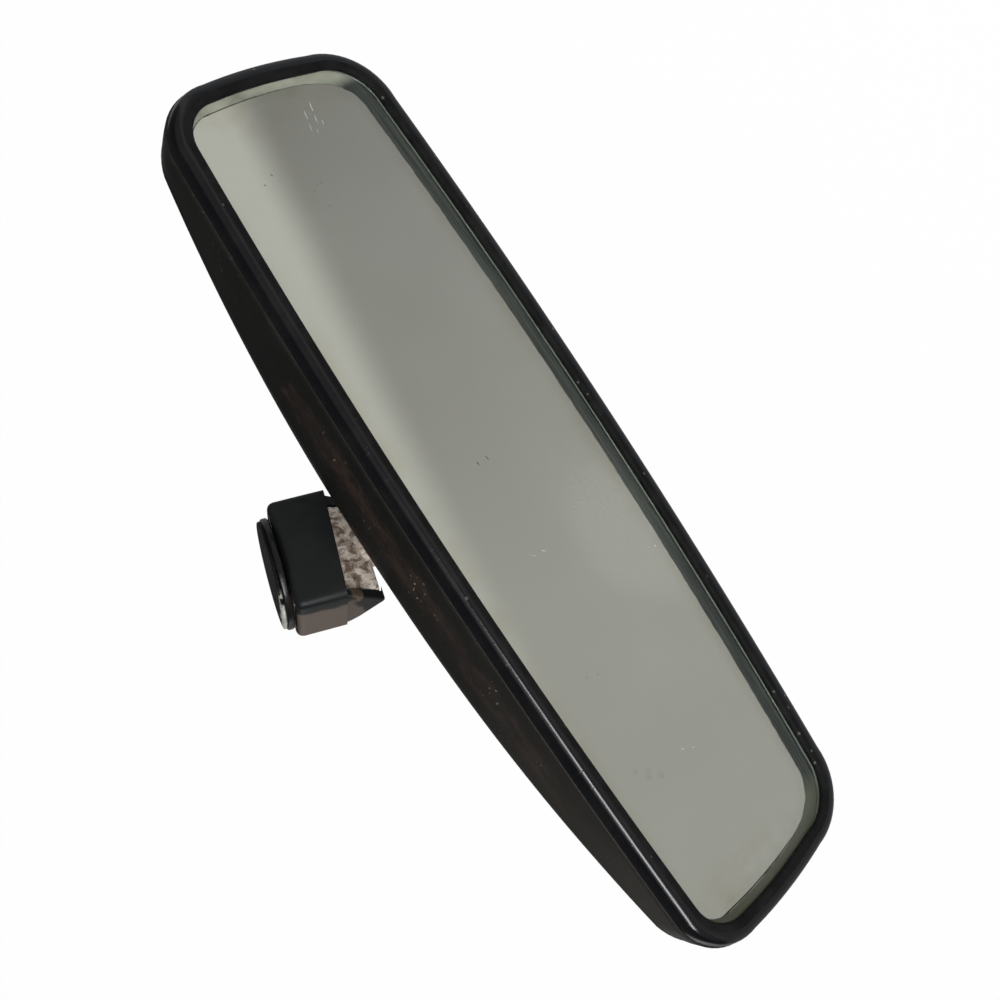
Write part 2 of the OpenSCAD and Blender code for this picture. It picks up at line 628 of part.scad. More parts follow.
// ---- dip lever ----
module dip_lever() color("#232425") in_lever() difference() {
    union() {
        difference() {
            rod(hub_r, -hub_half, hub_half);
            // two flats, one for day and one for night
            for (a = [-half_throw, half_throw]) rotate([a, 0, 0])
                translate([-hub_half - 1, flat_d, -hub_r - 1]) cube([2 * hub_half + 2, hub_r, 2 * hub_r + 2]);
        }
        translate([-tab_w / 2, -tab_t / 2, -tab_len + grip_r])
            cube([tab_w, tab_t, tab_len - grip_r - hub_r / 2]);
        translate([-web_half, -1.7, hub_r / 2]) cube([2 * web_half, 3.4, crank_r - hub_r / 2]);
        translate([0, 0, crank_r]) rod(crank_pin_r, -crank_half, crank_half);
    }
    rod(lever_pin_r + run_gap, -hub_half - 1, hub_half + 1);
}

// soft cap over the end of the tab
grip_len = 6;
module lever_grip() color("#1b1b1b") in_lever() difference() {
    union() {
        translate([0, 0, -tab_len]) rod(grip_r, -tab_w / 2 - 0.8, tab_w / 2 + 0.8);
        translate([-tab_w / 2 - 0.8, -grip_r, -tab_len]) cube([tab_w + 1.6, 2 * grip_r, grip_len]);
    }
    translate([-tab_w / 2, -tab_t / 2, -tab_len + grip_r]) cube([tab_w, tab_t, grip_len]);
}

adhesive_pad();
windscreen_button();
button_spring();
mount_casting();
set_screw();
foot_cover();
arm_shroud();
ball_stud();
ball_liner();
pressure_cup();
disc_springs();
socket_body();
socket_retainer();
retainer_screws();
pivot_bracket();
bracket_screws();
housing_shell();
bezel();
prism_glass();
backing_film();
foam_strips();
pivot_pin();
pin_clips();
lever_pin();
detent_spring();
dip_lever();
lever_grip();
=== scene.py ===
import json
import math
import bpy
import bmesh
from mathutils import Matrix, Vector


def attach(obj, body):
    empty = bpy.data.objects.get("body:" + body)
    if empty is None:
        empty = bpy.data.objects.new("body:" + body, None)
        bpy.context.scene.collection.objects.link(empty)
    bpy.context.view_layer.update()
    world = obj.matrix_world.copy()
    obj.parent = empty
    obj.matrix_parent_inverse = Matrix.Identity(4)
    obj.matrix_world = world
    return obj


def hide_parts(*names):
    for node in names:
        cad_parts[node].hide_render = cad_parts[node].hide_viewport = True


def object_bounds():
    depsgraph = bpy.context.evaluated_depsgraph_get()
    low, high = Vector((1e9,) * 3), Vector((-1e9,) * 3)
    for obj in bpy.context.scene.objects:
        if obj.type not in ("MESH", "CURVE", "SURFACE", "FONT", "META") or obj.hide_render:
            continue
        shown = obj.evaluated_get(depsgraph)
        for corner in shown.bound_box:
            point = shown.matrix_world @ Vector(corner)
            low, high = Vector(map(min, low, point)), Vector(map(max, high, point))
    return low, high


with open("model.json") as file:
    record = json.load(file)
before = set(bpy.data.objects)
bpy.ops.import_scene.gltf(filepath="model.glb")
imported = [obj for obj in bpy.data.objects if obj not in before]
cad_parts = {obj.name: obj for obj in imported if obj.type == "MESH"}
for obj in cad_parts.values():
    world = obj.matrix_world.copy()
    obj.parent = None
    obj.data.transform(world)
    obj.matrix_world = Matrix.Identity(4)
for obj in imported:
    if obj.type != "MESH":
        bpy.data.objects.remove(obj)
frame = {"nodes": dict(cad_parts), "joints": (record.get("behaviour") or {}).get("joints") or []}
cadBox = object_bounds()
mm = 0.001

# the working frames: one at the middle of the mirror, one at the foot
placing = {
    "pivotFromMirror": (0.0, 15.0, 22.0),  # dip axis, from the middle of the glass opening
    "footTurn": (-13.7, 23.7, 14.3),       # foot against the mirror, degrees about X, Y and Z
}
jointAt = {j["name"]: Vector(j["pos_m"]) for j in frame["joints"]}
mirrorPos = jointAt["dip"] - Vector(placing["pivotFromMirror"]) * mm
mirrorPlace = Matrix.Translation(mirrorPos)
turnX, turnY, turnZ = [Matrix.Rotation(math.radians(a), 4, k) for a, k in zip(placing["footTurn"], "XYZ")]
footPlace = turnZ @ turnY @ turnX
print("frame loaded, mirror centre at", [round(v, 4) for v in mirrorPos])

# shader helpers
wornSpan = (0.35, 0.7)  # the part of a cloud noise that the worn colour covers
roughSpan = (0.3, 0.7)  # the part of it that the roughness follows


def newMaterial(name):
    mat = bpy.data.materials.new(name)
    mat.use_nodes = True
    tree = mat.node_tree
    tree.nodes.clear()
    out = tree.nodes.new("ShaderNodeOutputMaterial")
    shader = tree.nodes.new("ShaderNodeBsdfPrincipled")
    tree.links.new(shader.outputs[0], out.inputs["Surface"])
    coords = tree.nodes.new("ShaderNodeTexCoord").outputs["Object"]
    return mat, shader, coords


def setSockets(shader, values):
    for key, value in values.items():
        shader.inputs[key].default_value = value


def treeOf(values):
    # the node tree of the first socket among the values
    return next(value.id_data for value in values if hasattr(value, "id_data"))


def fillSocket(socket, value):
    # a number or a colour is set on the socket, anything else is linked to it
    if isinstance(value, (int, float)):
        socket.default_value = value
    elif isinstance(value, tuple):
        socket.default_value = (*value[:3], 1.0)
    else:
        value.id_data.links.new(value, socket)


def feed(value, shader, *names):
    for name in names:
        value.id_data.links.new(value, shader.inputs[name])


def toSurface(node):
    out = next(n for n in node.id_data.nodes if n.bl_idname == "ShaderNodeOutputMaterial")
    feed(node.outputs[0], out, "Surface")


def nodeOf(kind, *values):
    # a new node whose first inputs are filled, in order
    node = treeOf(values).nodes.new("ShaderNode" + kind)
    for socket, value in zip(node.inputs, values):
        fillSocket(socket, value)
    return node


def scaled(vector, scale):
    node = nodeOf("Mapping", vector)
    node.inputs["Scale"].default_value = scale
    return node.outputs[0]


def noiseOf(vector, scale, detail=4.0, rough=0.55, warp=0.0):
    node = nodeOf("TexNoise", vector)
    setSockets(node, {"Scale": scale, "Detail": detail, "Roughness": rough, "Distortion": warp})
    return node.outputs["Fac"]


def mapped(value, low, high, toLow=0.0, toHigh=1.0, smooth=True):
    node = nodeOf("MapRange", value)
    node.interpolation_type = "SMOOTHSTEP" if smooth else "LINEAR"
    setSockets(node, {"From Min": low, "From Max": high, "To Min": toLow, "To Max": toHigh})
    return node.outputs[0]


def maths(kind, *values):
    node = nodeOf("Math", *values)
    node.operation = kind
    return node.outputs[0]


def chained(kind, values):
    total = values[0]
    for value in values[1:]:
        total = maths(kind, total, value)
    return total


def times(*values):
    return chained("MULTIPLY", values)


def plus(*values):
    return chained("ADD", values)


def largest(*values):
    return chained("MAXIMUM", values)


def ragged(noise, reach):
    # a shift both ways, up to half the reach, that breaks a straight edge
    return times(maths("SUBTRACT", noise, 0.5), reach)


def roughen(shader, noise, rough):
    feed(mapped(noise, *roughSpan, *rough), shader, "Roughness")


def mixed(factor, a, b, kind="MIX"):
    node = treeOf((factor, a, b)).nodes.new("ShaderNodeMix")
    node.data_type = "RGBA"
    node.blend_type = kind
    for index, value in ((0, factor), (6, a), (7, b)):
        fillSocket(node.inputs[index], value)
    return node.outputs[2]


def splitAxes(vector):
    return nodeOf("SeparateXYZ", vector).outputs


def facing(vector, toward):
    # how far the vector points along the given direction
    node = nodeOf("VectorMath", vector)
    node.operation = "DOT_PRODUCT"
    node.inputs[1].default_value = toward
    return node.outputs["Value"]


def bumped(shader, height, depth, strength=1.0, base=None):
    node = height.id_data.nodes.new("ShaderNodeBump")
    setSockets(node, {"Distance": depth, "Strength": strength})
    feed(height, node, "Height")
    if base is not None:
        feed(base, node, "Normal")
    feed(node.outputs[0], shader, "Normal")
    return node.outputs[0]


def specked(coords, cells, reach, share):
    # scattered crumbs: cells per metre, size within a cell, and how many cells have one
    node = nodeOf("TexVoronoi", coords)
    setSockets(node, {"Scale": cells})
    keep = maths("LESS_THAN", splitAxes(node.outputs["Color"])[1], share)
    return times(mapped(node.outputs["Distance"], reach, reach / 2), keep)


def mouldedPlastic(name, look):
    # look: colour and worn colour, roughness range, cloud and grain scales, grain depth, specular level
    mat, shader, coords = newMaterial(name)
    cloud = noiseOf(coords, look["cloudScale"], 5.0, 0.6)
    fine = noiseOf(coords, look["grainScale"], 2.0, 0.5)
    tint = mixed(mapped(cloud, *wornSpan), look["colour"], look["worn"])
    feed(tint, shader, "Base Color")
    roughen(shader, cloud, look["rough"])
    bumped(shader, fine, look["grainDepth"] * mm)
    setSockets(shader, {"Specular IOR Level": look.get("specular", 0.5)})
    return mat


# mesh helpers
boxFaces = ((0, 1, 3, 2), (4, 6, 7, 5), (0, 4, 5, 1), (2, 3, 7, 6), (0, 2, 6, 4), (1, 5, 7, 3))


def newObject(name, data, place=None):
    made = bpy.data.objects.new(name, data)
    bpy.context.scene.collection.objects.link(made)
    if place is not None:
        made.matrix_world = place
    return made


def meshOf(name, verts, faces):
    data = bpy.data.meshes.new(name)
    data.from_pydata([tuple(c * mm for c in v) for v in verts], [], faces)
    return data


def meshPiece(name, verts, faces, body, materials, replaces, smooth=True):
    piece = newObject(name, meshOf(name, verts, faces), mirrorPlace)
    for mat in materials:
        piece.data.materials.append(mat)
    cleanMesh(piece, smooth)
    placePiece(piece, body, replaces)
    return piece


def cleanMesh(piece, smooth=True, gap=1e-6):
    work = bmesh.new()
    work.from_mesh(piece.data)
    bmesh.ops.remove_doubles(work, verts=work.verts, dist=gap)
    bmesh.ops.recalc_face_normals(work, faces=work.faces)
    for poly in work.faces:
        poly.smooth = smooth
    work.to_mesh(piece.data)
    work.free()


def placePiece(piece, body, replaces):
    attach(piece, body)
    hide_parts(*replaces)


def applyModifiers(piece):
    bpy.context.view_layer.update()
    graph = bpy.context.evaluated_depsgraph_get()
    done = bpy.data.meshes.new_from_object(piece.evaluated_get(graph))
    piece.modifiers.clear()
    old = piece.data
    piece.data = done
    bpy.data.meshes.remove(old)


def addModifier(piece, kind, **values):
    mod = piece.modifiers.new(kind.lower(), kind)
    for key, value in values.items():
        setattr(mod, key, value)
    return mod


def cutAway(piece, tools):
    for tool in tools:
        addModifier(piece, "BOOLEAN", operation="DIFFERENCE", solver="EXACT", object=tool)
        applyModifiers(piece)
        bpy.data.objects.remove(tool)


def cutter(name, verts, faces, place):
    solid = newObject(name, meshOf(name, verts, faces), place)
    cleanMesh(solid, False)
    bpy.context.view_layer.update()
    return solid


def hullOf(name, points, place):
    solid = cutter(name, points, [], place)
    work = bmesh.new()
    work.from_mesh(solid.data)
    result = bmesh.ops.convex_hull(work, input=work.verts)
    spare = [v for v in set(result["geom_interior"] + result["geom_unused"]) if isinstance(v, bmesh.types.BMVert)]
    bmesh.ops.delete(work, geom=spare, context="VERTS")
    bmesh.ops.recalc_face_normals(work, faces=work.faces)
    work.to_mesh(solid.data)
    work.free()
    return solid


def boxPoints(xs, ys, zs, tilt=0.0):
    # the corners of a box whose top and bottom may slope along x
    return [(x, y, z - x * tilt) for x in xs for y in ys for z in zs]


def ringFaces(count, rows, closed=False):
    faces = []
    for row in range(rows if closed else rows - 1):
        low, high = row * count, (row + 1) % rows * count
        faces += [(low + i, low + (i + 1) % count, high + (i + 1) % count, high + i) for i in range(count)]
    return faces


def prismFaces(count):
    # two rings joined and closed
    return ringFaces(count, 2) + [tuple(range(count)), tuple(range(2 * count - 1, count - 1, -1))]


def circlePoints(radius, count):
    return [(radius * math.cos(2 * math.pi * i / count), radius * math.sin(2 * math.pi * i / count))
            for i in range(count)]


def sharpen(piece, angle):
    # smooth shading that stays crisp at edges steeper than the angle
    piece.data.set_sharp_from_angle(angle=math.radians(angle))


rounding = {"flatAngle": 0.6, "bevelAngle": 35.0, "sharpAngle": 50.0, "gap": 2e-6}  # degrees and metres


def cadCopy(node, name):
    piece = newObject(name, frame["nodes"][node].data.copy())
    cleanMesh(piece, True, rounding["gap"])
    return piece


def roundedCopy(node, name, body, mat, width, segments=3):
    # a rounded copy of a CAD node: same sizes, with its edges broken like a real moulding
    piece = cadCopy(node, name)
    piece.data.materials.clear()
    piece.data.materials.append(mat)
    work = bmesh.new()
    work.from_mesh(piece.data)
    bmesh.ops.dissolve_limit(work, angle_limit=math.radians(rounding["flatAngle"]), verts=work.verts,
                             edges=work.edges)
    work.to_mesh(piece.data)
    work.free()
    addModifier(piece, "BEVEL", width=width * mm, segments=segments, limit_method="ANGLE",
                angle_limit=math.radians(rounding["bevelAngle"]), harden_normals=False)
    addModifier(piece, "WEIGHTED_NORMAL", keep_sharp=True)
    applyModifiers(piece)
    sharpen(piece, rounding["sharpAngle"])
    placePiece(piece, body, (node,))


# mirror outline, shared by glass, bezel and housing
face = {
    "topWidth": 228.0, "bottomWidth": 218.4, "height": 57.0, "edgeBow": 3.9, "endBow": 0.8,
    "topCornerR": 9.3, "bottomCornerR": 12.4, "edgeSteps": 44, "cornerSteps": 14, "endSteps": 14,
    "smallestR": 0.5, "lowerFrom": 8.0, "lowerSpan": 14.0,  # below the middle: where the lower shift fades in
}
halfTop, halfBottom = face["topWidth"] / 2, face["bottomWidth"] / 2
cornerZ = face["height"] / 2 - face["edgeBow"]
topCorner, bottomCorner = Vector((halfTop, cornerZ)), Vector((halfBottom, -cornerZ))
topIn = Vector((-1, 2 * face["edgeBow"] / halfTop)).normalized()
bottomIn = Vector((-1, -2 * face["edgeBow"] / halfBottom)).normalized()
endDown = (bottomCorner - topCorner).normalized()
topHalfAngle = math.acos(topIn.dot(endDown)) / 2
bottomHalfAngle = math.acos(-endDown.dot(bottomIn)) / 2


def movedCorners(g):
    # both corners of the straight-sided outline, moved out by g
    top = topCorner - (topIn + endDown).normalized() * g / math.sin(topHalfAngle)
    bottom = bottomCorner - (bottomIn - endDown).normalized() * g / math.sin(bottomHalfAngle)
    return top, bottom


def cornerArc(corner, d1, d2, halfAngle, radius):
    middle = corner + (d1 + d2).normalized() * radius / math.sin(halfAngle)
    first = corner + d1 * radius / math.tan(halfAngle) - middle
    start, turn = math.atan2(first.y, first.x), math.pi - 2 * halfAngle
    steps = face["cornerSteps"]
    return [middle + radius * Vector((math.cos(start - turn * k / steps), math.sin(start - turn * k / steps)))
            for k in range(steps + 1)]


def outline(g):
    # closed ring of (x, z) at distance g outside the visible glass, clockwise from the upper left
    ct, cb = movedCorners(g)
    arcTop = cornerArc(ct, topIn, endDown, topHalfAngle, max(face["topCornerR"] + g, face["smallestR"]))
    arcBottom = cornerArc(cb, -endDown, bottomIn, bottomHalfAngle,
                          max(face["bottomCornerR"] + g, face["smallestR"]))
    ends = []
    for k in range(1, face["endSteps"]):
        v = k / face["endSteps"]
        ends.append(arcTop[-1].lerp(arcBottom[0], v) + Vector((face["endBow"] * 4 * v * (1 - v), 0)))

    def bowEdge(corner, xEnd, sign):
        steps = face["edgeSteps"]
        spots = [xEnd * i / steps for i in range(-steps, steps + 1)]
        return [Vector((x, corner.y + sign * face["edgeBow"] * (1 - (x / corner.x) ** 2))) for x in spots]

    top = bowEdge(ct, arcTop[0].x, 1)
    bottom = bowEdge(cb, arcBottom[-1].x, -1)[::-1]
    rightEnd = arcTop[1:] + ends + arcBottom
    leftEnd = [Vector((-p.x, p.y)) for p in rightEnd][::-1]
    return top + rightEnd + bottom[1:-1] + leftEnd


def lowerShifted(g, shift):
    # the outline at g, moved further out by the shift along its lower long edge
    moved = []
    for p, q in zip(outline(g), outline(g + shift)):
        share = min(1.0, max(0.0, (-p.y - face["lowerFrom"]) / face["lowerSpan"]))
        moved.append(p.lerp(q, share * share * (3 - 2 * share)))
    return moved


ringCount = len(outline(0.0))
endIndex = 2 * face["edgeSteps"] + face["cornerSteps"] + face["endSteps"] // 2


# housing
housing = {
    "rimWidth": 5.5, "proud": 0.44, "frontY": 4.2, "depth": 36.0, "endDepth": 14.0, "depthPower": 2.4,
    "wall": 2.0, "backRadius": 10.5, "draft": 1.6, "draftShare": 0.62, "skirtStop": 8.1, "lipRound": 0.35,
    # rings of the drafted side: how many, where they start and bend, and the draft used up to the bend
    "sideRings": 8, "sideStart": 0.06, "draftBend": 0.48, "draftEarly": 0.4, "backRings": 14,
    "holeRadius": 19.0, "holeZ": 9.8, "holeY": (25.5, 50), "holeSides": 96,
    "slotHalf": 11.6, "slotY": (10.6, 21.4), "slotZ": (-40, -29),
    # ears for the dip pin and for the lever pin, and a rib behind the glass: low and high corners
    "blocks": [((28, 10, 17), (33, 22, 31.4)), ((12.6, 11, -31.4), (17, 21.5, -19)), ((66, 12, -18), (74, 24, 18))],
    "colour": (0.0062, 0.0061, 0.0055), "worn": (0.0095, 0.0090, 0.0080), "brown": (0.036, 0.0185, 0.012),
    "paintedLitEnd": (0.030, 0.027, 0.022), "crumb": (0.24, 0.19, 0.15), "paleFrontEdge": (0.015, 0.014, 0.0125),
    "rough": (0.44, 0.56), "specular": 0.3, "grain": 0.018, "lumps": 0.14,
    # the brown film, in metres: where it fades in and out along y and x, and upwards
    "filmFront": (0.0085, 0.0125), "filmBack": (0.0225, 0.0165), "filmFar": (-0.092, -0.055),
    "filmNear": (0.050, 0.0485), "filmTop": (0.024, 0.028), "filmRagged": 0.012, "filmStrength": 0.62,
    "paintedLitEndSpan": (0.02, -0.11), "paleFrontEdgeSpan": (0.0062, 0.0046),
    "crumbCells": 900, "crumbSize": (0.34, 0.16), "crumbsAbove": 0.72, "crumbStrength": 0.75,
}
shellG = housing["rimWidth"] + housing["proud"]
topReach = movedCorners(shellG)[0].x


def backY(x):
    drop = (housing["depth"] - housing["endDepth"]) * (abs(x) / topReach) ** housing["depthPower"]
    return housing["depth"] - drop


def flatRing(g, y):
    return [(p.x, y, p.y) for p in outline(g)]


def deepRing(g, share, cut):
    start = housing["frontY"]
    return [(p.x, start + share * (backY(p.x) - cut - start), p.y) for p in outline(g)]


def addCap(verts, faces, start, across=14):
    # closes a ring with rows of points between each upper point and the one below it
    rows = []
    for k in range(ringCount // 2 + 1):
        a, b = start + (endIndex - k) % ringCount, start + (endIndex + k) % ringCount
        pa, pb = Vector(verts[a]), Vector(verts[b])
        row = [a]
        for i in range(1, across):
            row.append(len(verts))
            verts.append(tuple(pa.lerp(pb, i / across)))
        row.append(b)
        rows.append(row)
    for r0, r1 in zip(rows, rows[1:]):
        for i in range(across):
            quad = [r0[i], r0[i + 1], r1[i + 1], r1[i]]
            quad = [q for n, q in enumerate(quad) if q not in quad[:n]]
            if len(quad) > 2:
                faces.append(tuple(quad))


def shellProfile():
    # (share of the depth, distance in from the rim) down the side and round to the back
    draft, share, radius = housing["draft"], housing["draftShare"], housing["backRadius"]
    start, bend, early = housing["sideStart"], housing["draftBend"], housing["draftEarly"]
    profile = []
    for k in range(housing["sideRings"]):
        v = k / housing["sideRings"]
        drawn = early * min(v / bend, 1) + (1 - early) * max(0, (v - bend) / (1 - bend))
        profile.append(((start + (1 - start) * v) * share, draft * drawn))
    for k in range(housing["backRings"] + 1):
        a = math.pi / 2 * k / housing["backRings"]
        profile.append((share + (1 - share) * math.sin(a), draft + radius * (1 - math.cos(a))))
    return profile


def shellMesh():
    profile, front, lip = shellProfile(), housing["frontY"], housing["lipRound"]
    rings = []
    for a in [math.radians(degrees) for degrees in (0, 30, 60, 90)]:  # small round on the front edge
        rings.append(flatRing(shellG - lip * (1 - math.sin(a)), front + lip * (1 - math.cos(a))))
    rings += [deepRing(shellG - inset, s, 0) for s, inset in profile]
    verts = [v for ring in rings for v in ring]
    faces = ringFaces(ringCount, len(rings))
    outerBack = (len(rings) - 1) * ringCount
    innerStart = len(verts)
    inG = shellG - housing["wall"]
    inside = [flatRing(inG, y) for y in (front, housing["skirtStop"])]
    inside += [deepRing(inG - i, s, housing["wall"]) for s, i in profile if s >= housing["draftShare"]]
    for ring in inside:
        verts += ring
    faces += [tuple(innerStart + i for i in quad) for quad in ringFaces(ringCount, len(inside))]
    faces += [(i, innerStart + i, innerStart + (i + 1) % ringCount, (i + 1) % ringCount) for i in range(ringCount)]
    addCap(verts, faces, outerBack)
    addCap(verts, faces, innerStart + (len(inside) - 1) * ringCount)
    return verts, faces


def housingMaterial():
    mat, shader, coords = newMaterial("dustyHousingPlastic")
    x, y, z = splitAxes(coords)
    cloud = noiseOf(coords, 55, 6, 0.65)
    broad = noiseOf(coords, 14, 4, 0.6)
    base = mixed(mapped(cloud, 0.38, 0.7), housing["colour"], housing["worn"])
    # film of old brown adhesive along the middle of the top
    shift = ragged(noiseOf(coords, 120, 5, 0.7), housing["filmRagged"])
    yEdge, xEdge = plus(y, shift), plus(x, shift)
    band = times(mapped(yEdge, *housing["filmFront"]), mapped(yEdge, *housing["filmBack"]))
    along = times(mapped(xEdge, *housing["filmFar"]), mapped(xEdge, *housing["filmNear"]))
    patch = times(band, along, mapped(z, *housing["filmTop"]))
    blotch = mapped(noiseOf(scaled(coords, (0.5, 1.0, 1.0)), 190, 5, 0.7), 0.36, 0.66)
    film = times(patch, mapped(blotch, 0.0, 1.0, 0.25, 1.0))
    base = mixed(times(film, housing["filmStrength"]), base, housing["brown"])
    # painted light: the far end of the shell is painted greyer, standing in for the light that falls there; the
    # mask named worn holds this painted light, not wear
    worn = times(mapped(x, *housing["paintedLitEndSpan"]), mapped(broad, 0.25, 0.6, 0.55, 1.0))
    base = mixed(times(worn, 0.9), base, housing["paintedLitEnd"])
    # paler along the front edge of the shell, broken up by the cloud
    edge = times(mapped(y, *housing["paleFrontEdgeSpan"]), mapped(cloud, 0.4, 0.6, 0.3, 0.9))
    base = mixed(edge, base, housing["paleFrontEdge"])
    # pale crumbs and dust, mostly on the film
    crumbs = nodeOf("TexVoronoi", coords)
    setSockets(crumbs, {"Scale": housing["crumbCells"]})
    gate = mapped(noiseOf(coords, 60, 3, 0.5), 0.50, 0.62)
    keep = maths("GREATER_THAN", splitAxes(crumbs.outputs["Color"])[0], housing["crumbsAbove"])
    dots = times(mapped(crumbs.outputs["Distance"], *housing["crumbSize"]), gate, keep)
    dots = times(dots, mapped(patch, 0, 1, 0.12, 1.0))
    base = mixed(times(dots, housing["crumbStrength"]), base, housing["crumb"])
    feed(base, shader, "Base Color")
    rough = plus(mapped(cloud, *roughSpan, *housing["rough"]), times(film, 0.2))
    feed(rough, shader, "Roughness")
    grain = bumped(shader, noiseOf(coords, 1500, 2, 0.5), housing["grain"] * mm)
    lumps = plus(times(film, noiseOf(coords, 420, 3, 0.6)), dots)
    bumped(shader, lumps, housing["lumps"] * mm, 0.6, grain)
    setSockets(shader, {"Specular IOR Level": housing["specular"]})
    return mat


def addBlock(piece, low, high, side):
    work = bmesh.new()
    work.from_mesh(piece.data)
    spots = boxPoints(*[(a * mm, b * mm) for a, b in zip(low, high)])
    corners = [work.verts.new((side * x, y, z)) for x, y, z in spots]
    for ids in boxFaces:
        work.faces.new([corners[i] for i in ids])
    work.to_mesh(piece.data)
    work.free()


def makeHousing():
    verts, faces = shellMesh()
    piece = meshPiece("housingShell", verts, faces, "housing", [housingMaterial()],
                      ("housing_shell",))
    # the window in the back and the slot for the lever
    count, half = housing["holeSides"], housing["slotHalf"]
    tube = [(cx, y, housing["holeZ"] + cz) for y in housing["holeY"]
            for cx, cz in circlePoints(housing["holeRadius"], count)]
    slot = boxPoints((-half, half), housing["slotY"], housing["slotZ"])
    cutAway(piece, [cutter("windowCut", tube, prismFaces(count), mirrorPlace),
                    hullOf("slotCut", slot, mirrorPlace)])
    for side in (-1, 1):
        for low, high in housing["blocks"]:
            addBlock(piece, low, high, side)
    cleanMesh(piece)
    sharpen(piece, 38)


makeHousing()
print("housing done")

# bezel
bezel = {
    "lip": 1.8, "rimDepth": 3.9, "skirtLength": 3.6, "skirtWall": 1.2, "skirtGap": 0.15,
    # section points: distance outside the visible glass, depth behind the crown
    "section": [(0.5, 1.77), (0.3, 1.35), (0.4, 0.78), (0.8, 0.32), (1.5, 0.08), (2.6, 0.0), (3.6, 0.1),
                (4.4, 0.5), (5.0, 1.05), (5.35, 1.8), (5.55, 2.8), (5.6, 3.9)],
    # spans of the section that make the lip, where it turns glossy, and how much narrower it is below
    "perSpan": 4, "lipSpans": 5, "matteUpTo": 2.4, "lowerLip": 0.5,
    "colour": (0.0030, 0.0032, 0.0040), "dull": (0.0075, 0.0075, 0.008), "speck": (0.15, 0.14, 0.13),
    "rough": (0.14, 0.20), "waves": 0.009,
    "lipColour": (0.0045, 0.0046, 0.0048), "lipWorn": (0.0112, 0.0108, 0.0106), "lipSpeck": (0.17, 0.16, 0.14),
    "lipRough": (0.5, 0.66), "lipSpecular": 0.14, "lipGrain": 0.02,
}


def smoothLine(points, perSpan):
    # Catmull-Rom line through the points
    pts = [Vector(p) for p in points]
    ext = [2 * pts[0] - pts[1]] + pts + [2 * pts[-1] - pts[-2]]
    line = []
    for i in range(1, len(ext) - 2):
        p0, p1, p2, p3 = ext[i - 1:i + 3]
        for k in range(perSpan):
            t = k / perSpan
            line.append(0.5 * (2 * p1 + (p2 - p0) * t + (2 * p0 - 5 * p1 + 4 * p2 - p3) * t * t
                               + (3 * p1 - p0 - 3 * p2 + p3) * t ** 3))
    return line + [ext[-2]]


def bezelGloss():
    mat, shader, coords = newMaterial("glossBezelPlastic")
    cloud = noiseOf(coords, 70, 6, 0.65)
    tint = mixed(mapped(cloud, 0.42, 0.75), bezel["colour"], bezel["dull"])
    dots = times(specked(coords, 240, 0.12, 0.14), 0.45)
    feed(mixed(dots, tint, bezel["speck"]), shader, "Base Color")
    scuffs = noiseOf(scaled(coords, (1, 0.12, 0.12)), 1100, 4, 0.7)
    dulled = mapped(scuffs, 0.58, 0.74, 0.0, 0.25)
    feed(plus(mapped(cloud, *roughSpan, *bezel["rough"]), dulled), shader, "Roughness")
    nicks = mapped(scuffs, 0.60, 0.74, 0.0, -1.0)
    bumped(shader, plus(noiseOf(coords, 300, 3, 0.5), nicks), bezel["waves"] * mm)
    return mat


def bezelLip():
    # the inner slope of the rim is duller, with dust rubbed into it
    mat, shader, coords = newMaterial("dustyBezelLip")
    cloud = noiseOf(coords, 150, 5, 0.65)
    tint = mixed(mapped(cloud, *wornSpan), bezel["lipColour"], bezel["lipWorn"])
    dots = times(specked(coords, 300, 0.14, 0.16), 0.5)
    feed(mixed(dots, tint, bezel["lipSpeck"]), shader, "Base Color")
    roughen(shader, cloud, bezel["lipRough"])
    bumped(shader, noiseOf(coords, 900, 3, 0.5), bezel["lipGrain"] * mm)
    setSockets(shader, {"Specular IOR Level": bezel["lipSpecular"]})
    return mat


def makeBezel():
    section = smoothLine(bezel["section"], bezel["perSpan"])
    deep = bezel["rimDepth"]
    skirtOut = shellG - housing["wall"] - bezel["skirtGap"]
    skirtEnd = deep + bezel["skirtLength"]
    skirtIn = skirtOut - bezel["skirtWall"]
    # the skirt, with a snap bead near its end, and back up to the glass
    section += [Vector(p) for p in (
        (skirtOut, deep), (skirtOut, skirtEnd - 2.2), (skirtOut + 0.1, skirtEnd - 1.4), (skirtOut, skirtEnd),
        (skirtIn, skirtEnd), (skirtIn, bezel["lip"] - 0.02))]
    verts = []
    for index, s in enumerate(section):
        onLip = index <= bezel["perSpan"] * bezel["lipSpans"] and s.x < bezel["matteUpTo"]
        shift = bezel["lowerLip"] * (1 - s.x / bezel["matteUpTo"]) if onLip else 0.0
        verts += [(p.x, s.y, p.y) for p in lowerShifted(s.x, shift)]
    piece = meshPiece("bezelRim", verts, ringFaces(ringCount, len(section), True), "housing",
                      [bezelGloss(), bezelLip()], ("bezel",))
    for poly in piece.data.polygons:
        poly.material_index = 1 if section[poly.index // ringCount].x < bezel["matteUpTo"] else 0
    sharpen(piece, 40)


makeBezel()
print("bezel done")

